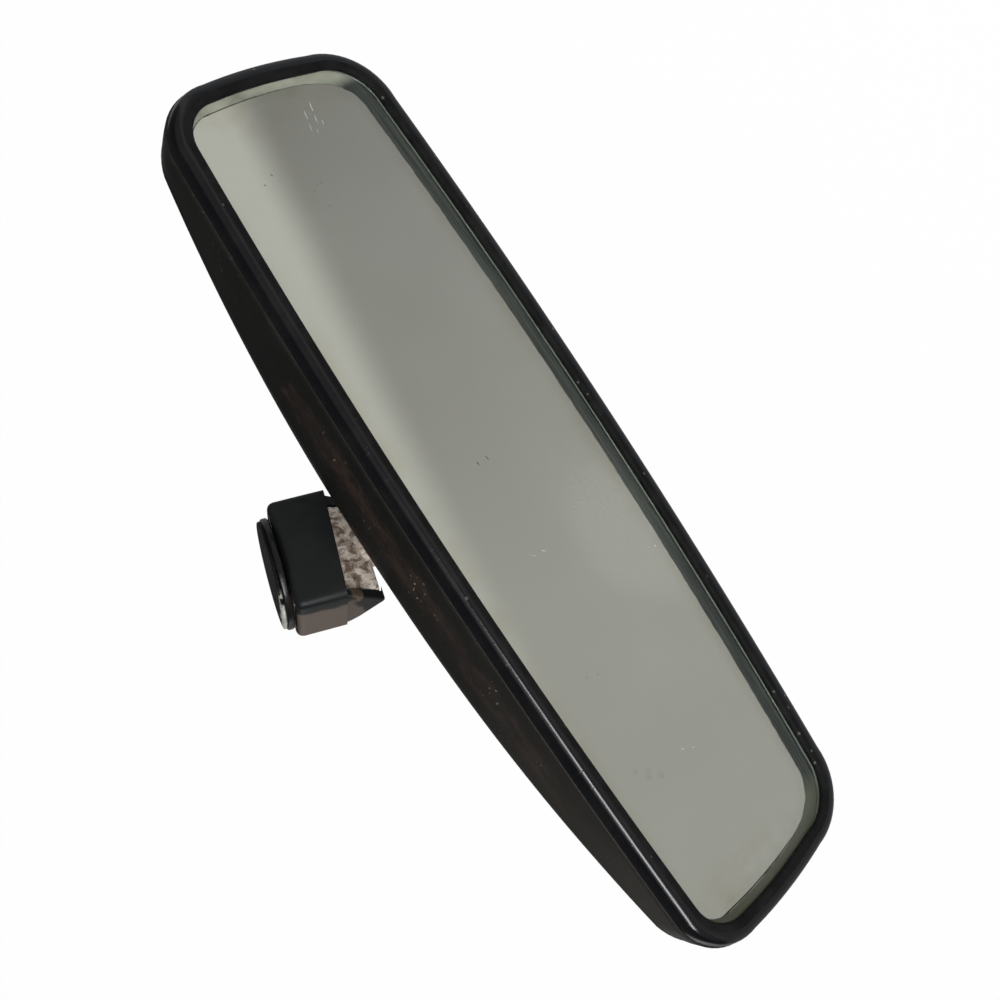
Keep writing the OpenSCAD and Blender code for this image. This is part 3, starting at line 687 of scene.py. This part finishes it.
# wedge glass with its silvered back
glass = {
    "lipCover": 2.0, "frontY": 1.8, "topThick": 6.0, "bottomThick": 2.6, "arris": 0.25, "filmGap": 0.02,
    # where the seal line and the silver start, in from the visible edge, and how much more below
    "lineEdge": -0.55, "silverEdge": -0.75, "lowerSilver": -1.5,
    "tint": (0.972, 0.975, 0.945), "index": 1.52, "silver": (0.86, 0.865, 0.84), "aged": (0.74, 0.715, 0.62),
    "ground": (0.16, 0.19, 0.165), "groundWorn": (0.22, 0.25, 0.22),
    "margin": (0.33, 0.34, 0.27), "marginDark": (0.030, 0.036, 0.029), "line": (0.006, 0.008, 0.006),
    "olive": (0.050, 0.055, 0.034), "seal": (0.034, 0.036, 0.029), "sealPale": (0.17, 0.175, 0.145),
    "glow": 0.55, "dust": (0.42, 0.43, 0.40), "dirt": (0.02, 0.02, 0.02),
    # marks in millimetres: x, z, half length, half width, slope in degrees
    "scratches": [(103.6, -7.9, 1.5, 0.20, -14), (100.4, -7.1, 1.4, 0.16, -12), (99.0, -8.3, 0.9, 0.14, -16),
                  (-16.2, 6.2, 0.9, 0.17, 49), (-76.0, 0.9, 0.5, 0.14, 40), (-12.2, -11.0, 0.5, 0.1, 60),
                  (-31.5, -22.6, 0.3, 0.16, 0)],
    "specks": [(92.5, 12.3, 0.42, 0.17, 20), (9.7, 5.1, 0.85, 0.16, 12), (86.0, 1.7, 0.22, 0.16, 0),
               (81.3, 0.5, 0.2, 0.14, 0), (-47.5, 12.4, 0.2, 0.14, 10)],
    "smudges": [(-75.7, 13.0, 1.5, 1.2, 0), (-72.6, 15.4, 0.9, 0.8, 0)],
    # how strongly scratches, specks, smudges and the thin film cover the glass
    "cover": (0.5, 0.9, 0.07, 0.035),
}
wedge = math.atan((glass["topThick"] - glass["bottomThick"]) / (face["height"] + 2 * glass["lipCover"]))
midBack = glass["frontY"] + (glass["topThick"] + glass["bottomThick"]) / 2 - glass["filmGap"]


def spotMask(x, z, spots):
    # soft-edged ellipses
    masks = []
    for cx, cz, length, width, slope in spots:
        c, s = math.cos(math.radians(slope)), math.sin(math.radians(slope))
        dx, dz = maths("SUBTRACT", x, cx * mm), maths("SUBTRACT", z, cz * mm)
        u = plus(times(dx, c / (length * mm)), times(dz, s / (length * mm)))
        v = plus(times(dx, -s / (width * mm)), times(dz, c / (width * mm)))
        masks.append(mapped(plus(times(u, u), times(v, v)), 1.0, 0.3))
    return largest(*masks)


def glassFront():
    mat, shader, coords = newMaterial("clearWedgeGlass")
    setSockets(shader, {"Base Color": (*glass["tint"], 1), "Roughness": 0.0, "IOR": glass["index"],
                        "Transmission Weight": 1.0})
    x, _, z = splitAxes(coords)
    # a few pale scratches and dark specks on the front, and a thin uneven film
    scratches, specks, smudges = [spotMask(x, z, glass[key]) for key in ("scratches", "specks", "smudges")]
    film = mapped(noiseOf(coords, 22, 2, 0.5), 0.4, 0.8, 0.0, glass["cover"][3])
    masks = [times(mask, share) for mask, share in zip((scratches, specks, smudges), glass["cover"])]
    cover = largest(*masks, film)
    # the dirt is lit from the front, and seen again in the silver from behind
    tone = mixed(largest(specks, smudges), glass["dust"], glass["dirt"])
    halves = [nodeOf(kind, tone).outputs[0] for kind in ("BsdfDiffuse", "BsdfTranslucent")]
    dirt = nodeOf("AddShader", *halves)
    blend = nodeOf("MixShader", cover, shader.outputs[0], dirt.outputs[0])
    # lamps reach what lies behind the glass
    path, clear = [mat.node_tree.nodes.new(kind) for kind in ("ShaderNodeLightPath", "ShaderNodeBsdfTransparent")]
    lit = nodeOf("MixShader", path.outputs["Is Shadow Ray"], blend.outputs[0], clear.outputs[0])
    toSurface(lit)
    return mat


def glassSilver():
    # the silver has browned a little near its edges
    mat, shader, coords = newMaterial("silveredBack")
    x, _, z = splitAxes(coords)
    nearEnd = mapped(maths("ABSOLUTE", x), 0.098, 0.114)
    nearEdge = mapped(maths("ABSOLUTE", z), 0.0205, 0.029)
    age = times(largest(nearEnd, nearEdge), mapped(noiseOf(coords, 90, 3), *roughSpan))
    feed(mixed(age, glass["silver"], glass["aged"]), shader, "Base Color")
    setSockets(shader, {"Metallic": 1.0, "Roughness": 0.004})
    return mat


def backOfGlass(shader, tone):
    # painted light: the glass in front keeps the room's light off it, so these bands glow with part of their own
    # tone
    feed(tone, shader, "Base Color", "Emission Color")
    setSockets(shader, {"Roughness": 0.5, "Emission Strength": glass["glow"]})


def glassMargin():
    # bare greenish edge where the silver stops short
    mat, shader, coords = newMaterial("bareGlassMargin")
    x, _, z = splitAxes(coords)
    farEnd, nearEnd = mapped(x, 0.105, 0.1085), mapped(x, -0.100, -0.1065)
    cloud = noiseOf(scaled(coords, (1, 1, 0.6)), 160, 3, 0.5)
    # fine lines that follow the bow of the lower edge
    bow = times(x, x, -face["edgeBow"] * mm / (halfBottom * mm) ** 2)
    along = mat.node_tree.nodes.new("ShaderNodeCombineXYZ")
    feed(times(x, 0.02), along, "X")
    feed(plus(z, bow), along, "Z")
    streak = noiseOf(along.outputs[0], 1500, 3, 0.6)
    side = mixed(mapped(streak, 0.4, 0.62), glass["line"], glass["marginDark"])
    end = mixed(mapped(cloud, *roughSpan, 0.0, 0.5), glass["margin"], glass["marginDark"])
    # painted light: the margin glows with part of its tone
    backOfGlass(shader, mixed(nearEnd, mixed(farEnd, side, end), glass["olive"]))
    return mat


def silverLine():
    # the thin dark line of lacquer that seals the edge of the silver
    mat, shader, coords = newMaterial("silverSealLine")
    cloud = noiseOf(coords, 240, 3, 0.6)
    # painted light: the seal line glows with part of its tone
    backOfGlass(shader, mixed(mapped(cloud, 0.4, 0.6), glass["seal"], glass["sealPale"]))
    return mat


def makeGlass():
    cover, cut, slope = glass["lipCover"], glass["arris"], math.tan(wedge)
    rings = [(cover - cut, 0.0, "front"), (cover, cut, "front"), (cover, cut, "back"), (cover - cut, 0.0, "back"),
             (glass["lineEdge"], 0.0, "back"), (glass["silverEdge"], 0.0, "back")]
    verts = []
    for g, inset, side in rings:
        for p in lowerShifted(g, glass["lowerSilver"] if g < 0 else 0.0):
            y = glass["frontY"] + inset if side == "front" else midBack + p.y * slope - inset
            verts.append((p.x, y, p.y))
    last = (len(rings) - 1) * ringCount
    faces = ringFaces(ringCount, len(rings)) + [tuple(range(ringCount)), tuple(range(last, last + ringCount))]
    ground = mouldedPlastic("groundGlassEdge", {
        "colour": glass["ground"], "worn": glass["groundWorn"], "rough": (0.35, 0.5), "cloudScale": 60,
        "grainScale": 900, "grainDepth": 0.02})
    edge = 2  # slot of the ground edge; the margin and the seal line follow it, one slot for each ring
    piece = meshPiece("wedgeGlass", verts, faces, "housing",
                      [glassFront(), glassSilver(), ground, glassMargin(), silverLine()], ("prism_glass",), False)
    for poly in piece.data.polygons:
        row = poly.index // ringCount
        if len(poly.vertices) > 4:
            poly.material_index = 0 if poly.center.y < (glass["frontY"] + 1) * mm else 1
        else:
            poly.material_index = max(row, edge)
            poly.use_smooth = row <= edge
    sharpen(piece, 30)


makeGlass()
print("glass done")

# windscreen foot
foot = {
    "width": 29.4, "front": -11.4, "back": 9.7, "top": -2.9, "bottom": -16.7, "skew": 1.85, "wall": 1.5,
    "edgeR": 1.9, "bulge": 0.38, "keyS": -1.0, "keyN": -5.6, "keyR": 2.5,
    "armFront": -8.0, "armBack": 6.0, "armHalf": 11.7, "webN": -24.9, "bossEnd": -27.1, "bossR": 4.4,
    "shroudEnd": -26.5, "shroudBack": 8.6, "shroudHalf": 14.3, "shroudRound": 0.7,
    "colour": (0.0068, 0.0077, 0.0082), "worn": (0.0100, 0.0107, 0.0108), "dustAndPaintedLight": (0.105, 0.079, 0.062),
    "stain": (0.085, 0.060, 0.041), "speck": (0.12, 0.12, 0.12), "rough": (0.42, 0.55), "specular": 0.35,
    "grain": 0.02,
    # the pale side (dust and painted light) and the stain, in metres of the foot's own frame
    "paleSideIn": (0.0012, 0.0002), "edgeRagged": 0.008, "paleSideFront": (-0.0072, -0.0052), "paleSideSlant": 0.36,
    "paleSideUp": (-0.0202, -0.0186), "stainLow": (-0.0201, -0.0195), "stainHigh": (-0.0176, -0.0180),
    "stainSide": (-0.0118, -0.0126), "stainFront": (-0.0040, -0.0048),
}
footTilt = foot["skew"] / foot["width"]
wide = (-20, 20)  # past both sides of the foot


def coverMaterial():
    # matt black, with a pale brownish side that is partly a film of dust and partly painted light where that side
    # is lit
    mat, shader, coords = newMaterial("footCoverPlastic")
    x, y, z = splitAxes(coords)
    cloud = noiseOf(coords, 130, 5, 0.6)
    tint = mixed(mapped(cloud, *wornSpan), foot["colour"], foot["worn"])
    sideEdge = -foot["width"] / 2 * mm
    side = mapped(x, *[sideEdge + reach for reach in foot["paleSideIn"]])
    shift = ragged(cloud, foot["edgeRagged"])
    fromFront = mapped(plus(y, shift), *foot["paleSideFront"])
    slant = plus(z, times(y, foot["paleSideSlant"]))
    toArm = mapped(plus(slant, shift), *foot["paleSideUp"], 0.04, 1.0)
    # dust and painted light: the lit side of the cover is painted pale brown, fading in from the front and towards
    # the arm
    film = times(side, toArm, mapped(cloud, 0.25, 0.6, 0.75, 1.0), fromFront)
    tint = mixed(film, tint, foot["dustAndPaintedLight"])
    # a brown stain on the cheek, beside the corner of the cover
    zEdge, xEdge = plus(z, shift), plus(x, shift)
    stain = times(mapped(zEdge, *foot["stainLow"]), mapped(zEdge, *foot["stainHigh"]),
                  mapped(xEdge, *foot["stainSide"]), mapped(y, *foot["stainFront"]))
    tint = mixed(stain, tint, foot["stain"])
    dots = times(specked(coords, 190, 0.11, 0.10), 0.4)
    feed(mixed(dots, tint, foot["speck"]), shader, "Base Color")
    roughen(shader, cloud, foot["rough"])
    bumped(shader, noiseOf(coords, 1600, 2, 0.5), foot["grain"] * mm)
    setSockets(shader, {"Specular IOR Level": foot["specular"]})
    return mat


coverPlastic = coverMaterial()


def softBlock(name, low, high, radius, segments, place, slantBottom, bulge, cuts=10):
    # block with rounded edges whose faces swell a little
    block = newObject(name, bpy.data.meshes.new(name), place)
    work = bmesh.new()
    corners = [work.verts.new(spot) for spot in boxPoints(*zip(low, high))]
    for vert in corners:
        if vert.co.z == low[2]:
            vert.co.z -= slantBottom * (vert.co.x / (high[0] - low[0]))
    for ids in boxFaces:
        work.faces.new([corners[i] for i in ids])
    bmesh.ops.recalc_face_normals(work, faces=work.faces)
    bmesh.ops.bevel(work, geom=list(work.edges), offset=radius, segments=segments, profile=0.5, affect="EDGES")
    longEdges = [e for e in work.edges if e.calc_length() > 4]
    bmesh.ops.subdivide_edges(work, edges=longEdges, cuts=cuts, use_grid_fill=True)
    middle = [(a + b) / 2 for a, b in zip(low, high)]
    half = [(b - a) / 2 for a, b in zip(low, high)]
    for vert in work.verts:
        share = [(c - m) / h for c, m, h in zip(vert.co, middle, half)]
        for k in (0, 1):
            others = [share[n] for n in (0, 1, 2) if n != k]
            push = bulge * (1 - min(1, others[0] ** 2)) * (1 - 0.5 * min(1, others[1] ** 2))
            if abs(share[k]) > 0.6:
                vert.co[k] += math.copysign(push, share[k])
    for vert in work.verts:
        vert.co *= mm
    work.to_mesh(block.data)
    work.free()
    bpy.context.view_layer.update()
    return block


def finishCover(piece, node):
    piece.data.materials.append(coverPlastic)
    cleanMesh(piece)
    sharpen(piece, 40)
    placePiece(piece, "mount", (node,))


def makeFootCover():
    half, wall, front, back = foot["width"] / 2, foot["wall"], foot["front"], foot["back"]
    piece = softBlock("footCover", (-half, front, foot["bottom"] - 3), (half, back, foot["top"]),
                      foot["edgeR"], 5, footPlace, foot["skew"], foot["bulge"])
    inner = boxPoints((wall - half, half - wall), (front + wall, back - wall), (-30, 0))
    # the lower rim is cut flat, along the slanting line where the arm comes out
    under = boxPoints(wide, wide, (-40, foot["bottom"]), footTilt)
    count = 32
    hole = [(x, foot["keyS"] + cs, foot["keyN"] + cn) for x in (half - 3, half + 3)
            for cs, cn in circlePoints(foot["keyR"], count)]
    cutAway(piece, [hullOf("coverInside", inner, footPlace), hullOf("rimCut", under, footPlace),
                    cutter("keyHole", hole, prismFaces(count), footPlace)])
    finishCover(piece, "foot_cover")


def profileBlock(name, profile, half, place):
    # a profile of (s, n) points extruded across the foot
    verts = [(x, s, n) for x in (-half, half) for s, n in profile]
    return cutter(name, verts, prismFaces(len(profile)), place)


def makeShroud():
    front, bottom, end, back = foot["armFront"] - 0.6, foot["bottom"], foot["shroudEnd"], foot["shroudBack"]
    # the cheek follows the same line as the cover, then narrows to the tip beside the neck
    heel = [(back - 2.2, bottom - 2.6), (back - 0.6, bottom - 0.2), (back, bottom + 2)]
    profile = [(front, bottom + 3), (front, bottom - 0.8), (-1.2, end + 1.2), (-0.5, end + 0.6), (0.3, end + 1.2)]
    profile += heel[:1] + [tuple(p) for p in smoothLine(heel, 5)[1:]] + [(back, bottom + 3)]
    piece = profileBlock("armShroud", profile, foot["shroudHalf"], footPlace)
    addModifier(piece, "BEVEL", width=foot["shroudRound"] * mm, segments=4, limit_method="ANGLE",
                angle_limit=math.radians(38))
    applyModifiers(piece)
    inHalf, boss, mouth = foot["armHalf"] + 0.3, foot["bossR"] + 0.5, foot["armFront"] - 2
    room = boxPoints((-inHalf, inHalf), (mouth, foot["armBack"] + 0.4), (foot["webN"] - 0.3, -10))
    room += boxPoints((-boss, boss), (mouth, foot["bossR"] + 2.5), (foot["bossEnd"], foot["bossEnd"] + 3))
    above = boxPoints(wide, wide, (bottom - 0.15, 0), footTilt)
    cutAway(piece, [hullOf("armRoom", room, footPlace), hullOf("shroudTop", above, footPlace)])
    finishCover(piece, "arm_shroud")


casting = {
    "dull": (0.46, 0.37, 0.29), "bright": (0.92, 0.81, 0.69), "rust": (0.15, 0.078, 0.045),
    "rustSpan": (0.47, 0.64), "rough": (0.34, 0.6), "relief": 0.6, "voxel": 0.33, "smoothTurns": 4,
    "lumps": 0.22, "lumpSize": 1.6,
}


def castingMaterial():
    mat, shader, coords = newMaterial("bareZincCasting")
    cloud = noiseOf(coords, 260, 5, 0.65)
    streak = noiseOf(scaled(coords, (1.0, 1.0, 0.4)), 330, 4, 0.6, 0.5)
    base = mixed(mapped(cloud, 0.35, 0.60), casting["dull"], casting["bright"])
    rust = mapped(streak, *casting["rustSpan"])
    feed(mixed(times(rust, 0.85), base, casting["rust"]), shader, "Base Color")
    roughen(shader, cloud, casting["rough"])
    bumped(shader, plus(cloud, times(rust, -0.5)), casting["relief"] * mm)
    setSockets(shader, {"Specular IOR Level": 0.6})
    return mat


def makeCasting():
    # a cast version of the CAD node: its edges melt a little and its skin is lumpy
    piece = cadCopy("mount_casting", "zincCasting")
    addModifier(piece, "REMESH", mode="VOXEL", voxel_size=casting["voxel"] * mm, adaptivity=0.0)
    addModifier(piece, "SMOOTH", factor=0.5, iterations=casting["smoothTurns"])
    texture = bpy.data.textures.new("castingLumps", "CLOUDS")
    texture.noise_scale = casting["lumpSize"] * mm
    addModifier(piece, "DISPLACE", texture=texture, strength=casting["lumps"] * mm, mid_level=0.5,
                texture_coords="LOCAL")
    applyModifiers(piece)
    bpy.data.textures.remove(texture)
    piece.data.materials.clear()
    piece.data.materials.append(castingMaterial())
    cleanMesh(piece)
    placePiece(piece, "mount", ("mount_casting",))


makeFootCover()
makeShroud()
makeCasting()
print("foot done")

# button and its bonding pad
buttonBlack = mouldedPlastic("buttonEnamel", {
    "colour": (0.003, 0.003, 0.0034), "worn": (0.007, 0.007, 0.007), "rough": (0.18, 0.34), "cloudScale": 160,
    "grainScale": 500, "grainDepth": 0.03, "specular": 0.4})
roundedCopy("windscreen_button", "windscreenButton", "mount", buttonBlack, 0.5, 4)
pad = {
    "black": (0.0035, 0.0035, 0.0035), "dull": (0.30, 0.31, 0.27), "pale": (0.62, 0.64, 0.58),
    "tornFrom": (-0.0092, -0.0112), "ragged": 0.02, "relief": 0.6, "rough": (0.55, 0.22), "specular": 0.22,
    "index": 1.47,
}


def padMaterial():
    # clear and torn at one end, where it shows pale; still backed by black at the other
    mat, shader, coords = newMaterial("tornAdhesive")
    cloud = noiseOf(coords, 330, 5, 0.7)
    across = facing(coords, footPlace.col[0].to_3d())
    torn = mapped(plus(across, ragged(cloud, pad["ragged"])), *pad["tornFrom"])
    pale = mixed(mapped(cloud, 0.4, 0.65), pad["dull"], pad["pale"])
    feed(mixed(torn, pad["black"], pale), shader, "Base Color")
    feed(mapped(torn, 0.0, 1.0, *pad["rough"]), shader, "Roughness")
    bumped(shader, cloud, pad["relief"] * mm)
    setSockets(shader, {"Specular IOR Level": pad["specular"], "IOR": pad["index"]})
    return mat


roundedCopy("adhesive_pad", "bondingPad", "mount", padMaterial(), 0.3)
print("button done")


# metal and nylon inner parts
def metalFinish(name, look):
    mat, shader, coords = newMaterial(name)
    brush = noiseOf(scaled(coords, look.get("stretch", (1, 1, 1))), look["brushScale"], 4, 0.65)
    cloud = noiseOf(coords, 90, 4, 0.6)
    feed(mixed(mapped(cloud, *wornSpan), look["colour"], look["worn"]), shader, "Base Color")
    roughen(shader, brush, look["rough"])
    bumped(shader, brush, look["depth"] * mm)
    setSockets(shader, {"Metallic": look.get("metallic", 1.0)})
    return mat


# colour, worn colour, roughness, size and depth of the brushing; then its stretch, and how metallic it is
metalKeys = ("colour", "worn", "rough", "brushScale", "depth", "stretch", "metallic")
metals = {
    "springSteel": ((0.42, 0.43, 0.45), (0.30, 0.30, 0.31), (0.22, 0.38), 900, 0.01, (0.1, 1, 1)),
    "turnedSteel": ((0.58, 0.58, 0.58), (0.42, 0.41, 0.39), (0.16, 0.30), 1200, 0.008, (1, 1, 0.1)),
    "platedScrew": ((0.50, 0.49, 0.46), (0.33, 0.31, 0.27), (0.25, 0.42), 1500, 0.012),
    "socketZinc": ((0.34, 0.335, 0.32), (0.24, 0.235, 0.22), (0.42, 0.6), 380, 0.09),
    "blackPassivated": ((0.045, 0.045, 0.046), (0.10, 0.095, 0.09), (0.3, 0.5), 500, 0.03, (1, 1, 1), 0.8),
}
# colour, worn colour, roughness, size of the clouds and of the grain, depth of the grain, specular level
plasticKeys = ("colour", "worn", "rough", "cloudScale", "grainScale", "grainDepth", "specular")
plastics = {
    "bracketNylon": ((0.018, 0.018, 0.019), (0.032, 0.032, 0.032), (0.42, 0.58), 90, 1100, 0.02),
    "linerNylon": ((0.62, 0.59, 0.52), (0.50, 0.47, 0.40), (0.35, 0.5), 150, 900, 0.01),
    "leverPlastic": ((0.012, 0.012, 0.0125), (0.022, 0.022, 0.022), (0.30, 0.45), 130, 1500, 0.016),
    "gripRubber": ((0.010, 0.010, 0.010), (0.020, 0.0195, 0.019), (0.62, 0.8), 140, 1300, 0.03, 0.35),
    "backingFilm": ((0.07, 0.07, 0.075), (0.10, 0.10, 0.10), (0.5, 0.65), 50, 700, 0.02),
    "closedCellFoam": ((0.045, 0.045, 0.047), (0.08, 0.08, 0.08), (0.85, 0.95), 300, 1400, 0.2),
}
finish = {name: metalFinish(name, dict(zip(metalKeys, look))) for name, look in metals.items()}
finish.update({name: mouldedPlastic(name, dict(zip(plasticKeys, look))) for name, look in plastics.items()})

# node, piece, body, slot, finish, width of its rounded edges
rounded = [
    ("socket_body", "socketBody", "carrier", "cast_zinc", "socketZinc", 0.35),
    ("socket_retainer", "socketRetainer", "carrier", "retainer_plate", "blackPassivated", 0.25),
    ("pivot_bracket", "pivotBracket", "carrier", "bracket_plastic", "bracketNylon", 0.3),
    ("dip_lever", "dipLever", "lever", "lever_plastic", "leverPlastic", 0.4),
    ("lever_grip", "leverGrip", "lever", "grip_rubber", "gripRubber", 0.6),
]
for node, name, body, slot, look, width in rounded:
    roundedCopy(node, name, body, finish[look], width)

carried = {
    "springSteel": ("pressure_cup", "disc_springs", "button_spring", "pin_clips", "detent_spring"),
    "turnedSteel": ("ball_stud", "pivot_pin", "lever_pin"),
    "platedScrew": ("retainer_screws", "bracket_screws", "set_screw"),
    "linerNylon": ("ball_liner",), "backingFilm": ("backing_film",), "closedCellFoam": ("foam_strips",),
}
for look, nodes in carried.items():
    for node in nodes:
        slots = frame["nodes"][node].data.materials
        if slots:
            for index in range(len(slots)):
                slots[index] = finish[look]
        else:
            slots.append(finish[look])
print("inner parts done")

# floor, light and camera
studio = {
    "floorDrop": 0.30, "floorSize": 14.0, "floorShare": 0.96, "floorTint": ((0.86, 0.86, 0.86), (0.88, 0.88, 0.88)),
    # camera: turn about the mirror, height angle, roll, lens, and its place from the middle of the mirror
    "camTurn": 1.99, "camHeight": 33.21, "camRoll": -124.28, "lens": 54.0, "camSpot": (9.92, -295.39, 203.27),
    # what the glossy surfaces see around them: levels, and the directions of the two glows
    "roomDark": 0.05, "roomGrey": 0.22, "crownGlow": 0.45, "sideGlow": 0.75, "fill": 0.80,
    "crownToward": (-0.28, -0.72, 0.63), "sideToward": (-0.69, 0.70, -0.05),
    "mirrorFar": 0.205, "mirrorNear": 0.355, "mirrorStrip": 0.50, "underFloor": 0.42, "behindFloor": 0.30,
    # the grey room on the floor, in metres: its ramp, the strip's line and edge, and the paler patch
    "mirrorSpan": (0.36, -0.14), "stripSlope": -0.30, "stripStart": 1.0065, "stripEdge": (0.060, -0.050),
    "patchSpot": (-0.11, -0.71), "patchReach": (14.0, 9.0), "patchLevel": 0.035, "mirrorTint": (1.0, 1.0, 0.93),
}
turn, height, roll = [math.radians(studio[key]) for key in ("camTurn", "camHeight", "camRoll")]
forward = Vector((-math.sin(turn) * math.cos(height), math.cos(turn) * math.cos(height), -math.sin(height)))
level = forward.cross(Vector((0, 0, 1))).normalized()
right = math.cos(roll) * level + math.sin(roll) * level.cross(forward)
down = forward.cross(right)
camSpot = mirrorPos + Vector(studio["camSpot"]) * mm


def makeCamera():
    data = bpy.data.cameras.new("viewCamera")
    data.lens = studio["lens"]
    data.sensor_width = 36.0
    data.clip_start = 0.01
    axes = Matrix((right, -down, -forward)).transposed()
    bpy.context.scene.camera = newObject("viewCamera", data, Matrix.Translation(camSpot) @ axes.to_4x4())


def mirrorView(x, y):
    # the grey room in the mirror: darker to one end, with a soft bright strip and a paler patch
    grey = mapped(x, *studio["mirrorSpan"], studio["mirrorFar"], studio["mirrorNear"], False)
    edge = plus(times(x, studio["stripSlope"]), studio["stripStart"])
    strip = mapped(plus(y, edge), *studio["stripEdge"])
    reach = [times(plus(axis, -spot), share)
             for axis, spot, share in zip((x, y), studio["patchSpot"], studio["patchReach"])]
    away = plus(*[times(part, part) for part in reach])
    grey = plus(grey, mapped(away, 1.0, 0.2, 0.0, studio["patchLevel"]))
    grey = mixed(strip, grey, (studio["mirrorStrip"],) * 3)
    return mixed(1.0, grey, studio["mirrorTint"], "MULTIPLY")


def makeFloor():
    half = studio["floorSize"] / 2
    low = cadBox[0][2] - studio["floorDrop"]
    data = bpy.data.meshes.new("paleFloor")
    corners = [(-half, -half, low), (half, -half, low), (half, half, low), (-half, half, low)]
    data.from_pydata(corners, [], [(0, 1, 2, 3)])
    floor = newObject("paleFloor", data)
    mat, shader, coords = newMaterial("paleFloorPaper")
    x, y, _ = splitAxes(coords)
    feed(mixed(noiseOf(coords, 6, 3), *studio["floorTint"]), shader, "Base Color")
    setSockets(shader, {"Roughness": 0.9, "Specular IOR Level": 0.1})
    under, behind = studio["underFloor"], studio["behindFloor"]
    near = mixed(mapped(y, -0.25, 0.30), (under * 0.92, under * 0.96, under), (behind,) * 3)
    seen = mixed(mapped(y, -0.62, -0.50), mirrorView(x, y), near)
    glow, white = nodeOf("Emission", seen), mat.node_tree.nodes.new("ShaderNodeEmission")
    path = mat.node_tree.nodes.new("ShaderNodeLightPath")
    camShare = times(path.outputs["Is Camera Ray"], studio["floorShare"])
    first = nodeOf("MixShader", camShare, shader.outputs[0], white.outputs[0])
    toSurface(nodeOf("MixShader", path.outputs["Is Glossy Ray"], first.outputs[0], glow.outputs[0]))
    data.materials.append(mat)


def makeWorld():
    world = bpy.data.worlds.new("softRoom")
    bpy.context.scene.world = world
    world.use_nodes = True
    tree = world.node_tree
    tree.nodes.clear()
    out = tree.nodes.new("ShaderNodeOutputWorld")
    coords = tree.nodes.new("ShaderNodeTexCoord").outputs["Generated"]

    def glowFrom(toward, edge, core, strength):
        return mapped(facing(coords, Vector(toward).normalized()), edge, core, 0.0, strength)

    # dark behind and above, grey in front, a glow near the camera and a softer one under the foot
    glow = plus(glowFrom((0, -1, 0), 0.15, 0.6, studio["roomGrey"]), studio["roomDark"],
                glowFrom(studio["crownToward"], 0.93, 0.99, studio["crownGlow"]),
                glowFrom(studio["sideToward"], 0.90, 0.98, studio["sideGlow"]))
    path = tree.nodes.new("ShaderNodeLightPath")
    room = mixed(path.outputs["Is Glossy Ray"], (studio["fill"],) * 3, glow)
    back = nodeOf("Background", mixed(path.outputs["Is Camera Ray"], room, (1.0, 1.0, 1.0)))
    feed(back.outputs[0], out, "Surface")


def areaLight(name, toward, distance, size, power, colour=(1, 1, 1), mirrored=True):
    data = bpy.data.lights.new(name, "AREA")
    data.shape = "RECTANGLE"
    data.size, data.size_y = size
    data.energy = power
    data.color = colour
    aim = -Vector(toward).normalized()
    turned = aim.to_track_quat("-Z", "Y").to_matrix().to_4x4()
    lamp = newObject(name, data, Matrix.Translation(mirrorPos - aim * distance) @ turned)
    lamp.visible_glossy = mirrored


makeCamera()
makeFloor()
makeWorld()
# a wide low window beside the camera draws the line along the rim, a soft one above gives form
areaLight("windowLight", (-0.46, -0.68, 0.56), 0.80, (0.50, 0.13), 2.6, (0.96, 0.98, 1.0))
areaLight("softTop", (0.35, -0.55, 1.0), 1.1, (0.5, 0.5), 2.0, mirrored=False)
bpy.context.scene.view_settings.view_transform = "Standard"
print("studio done")
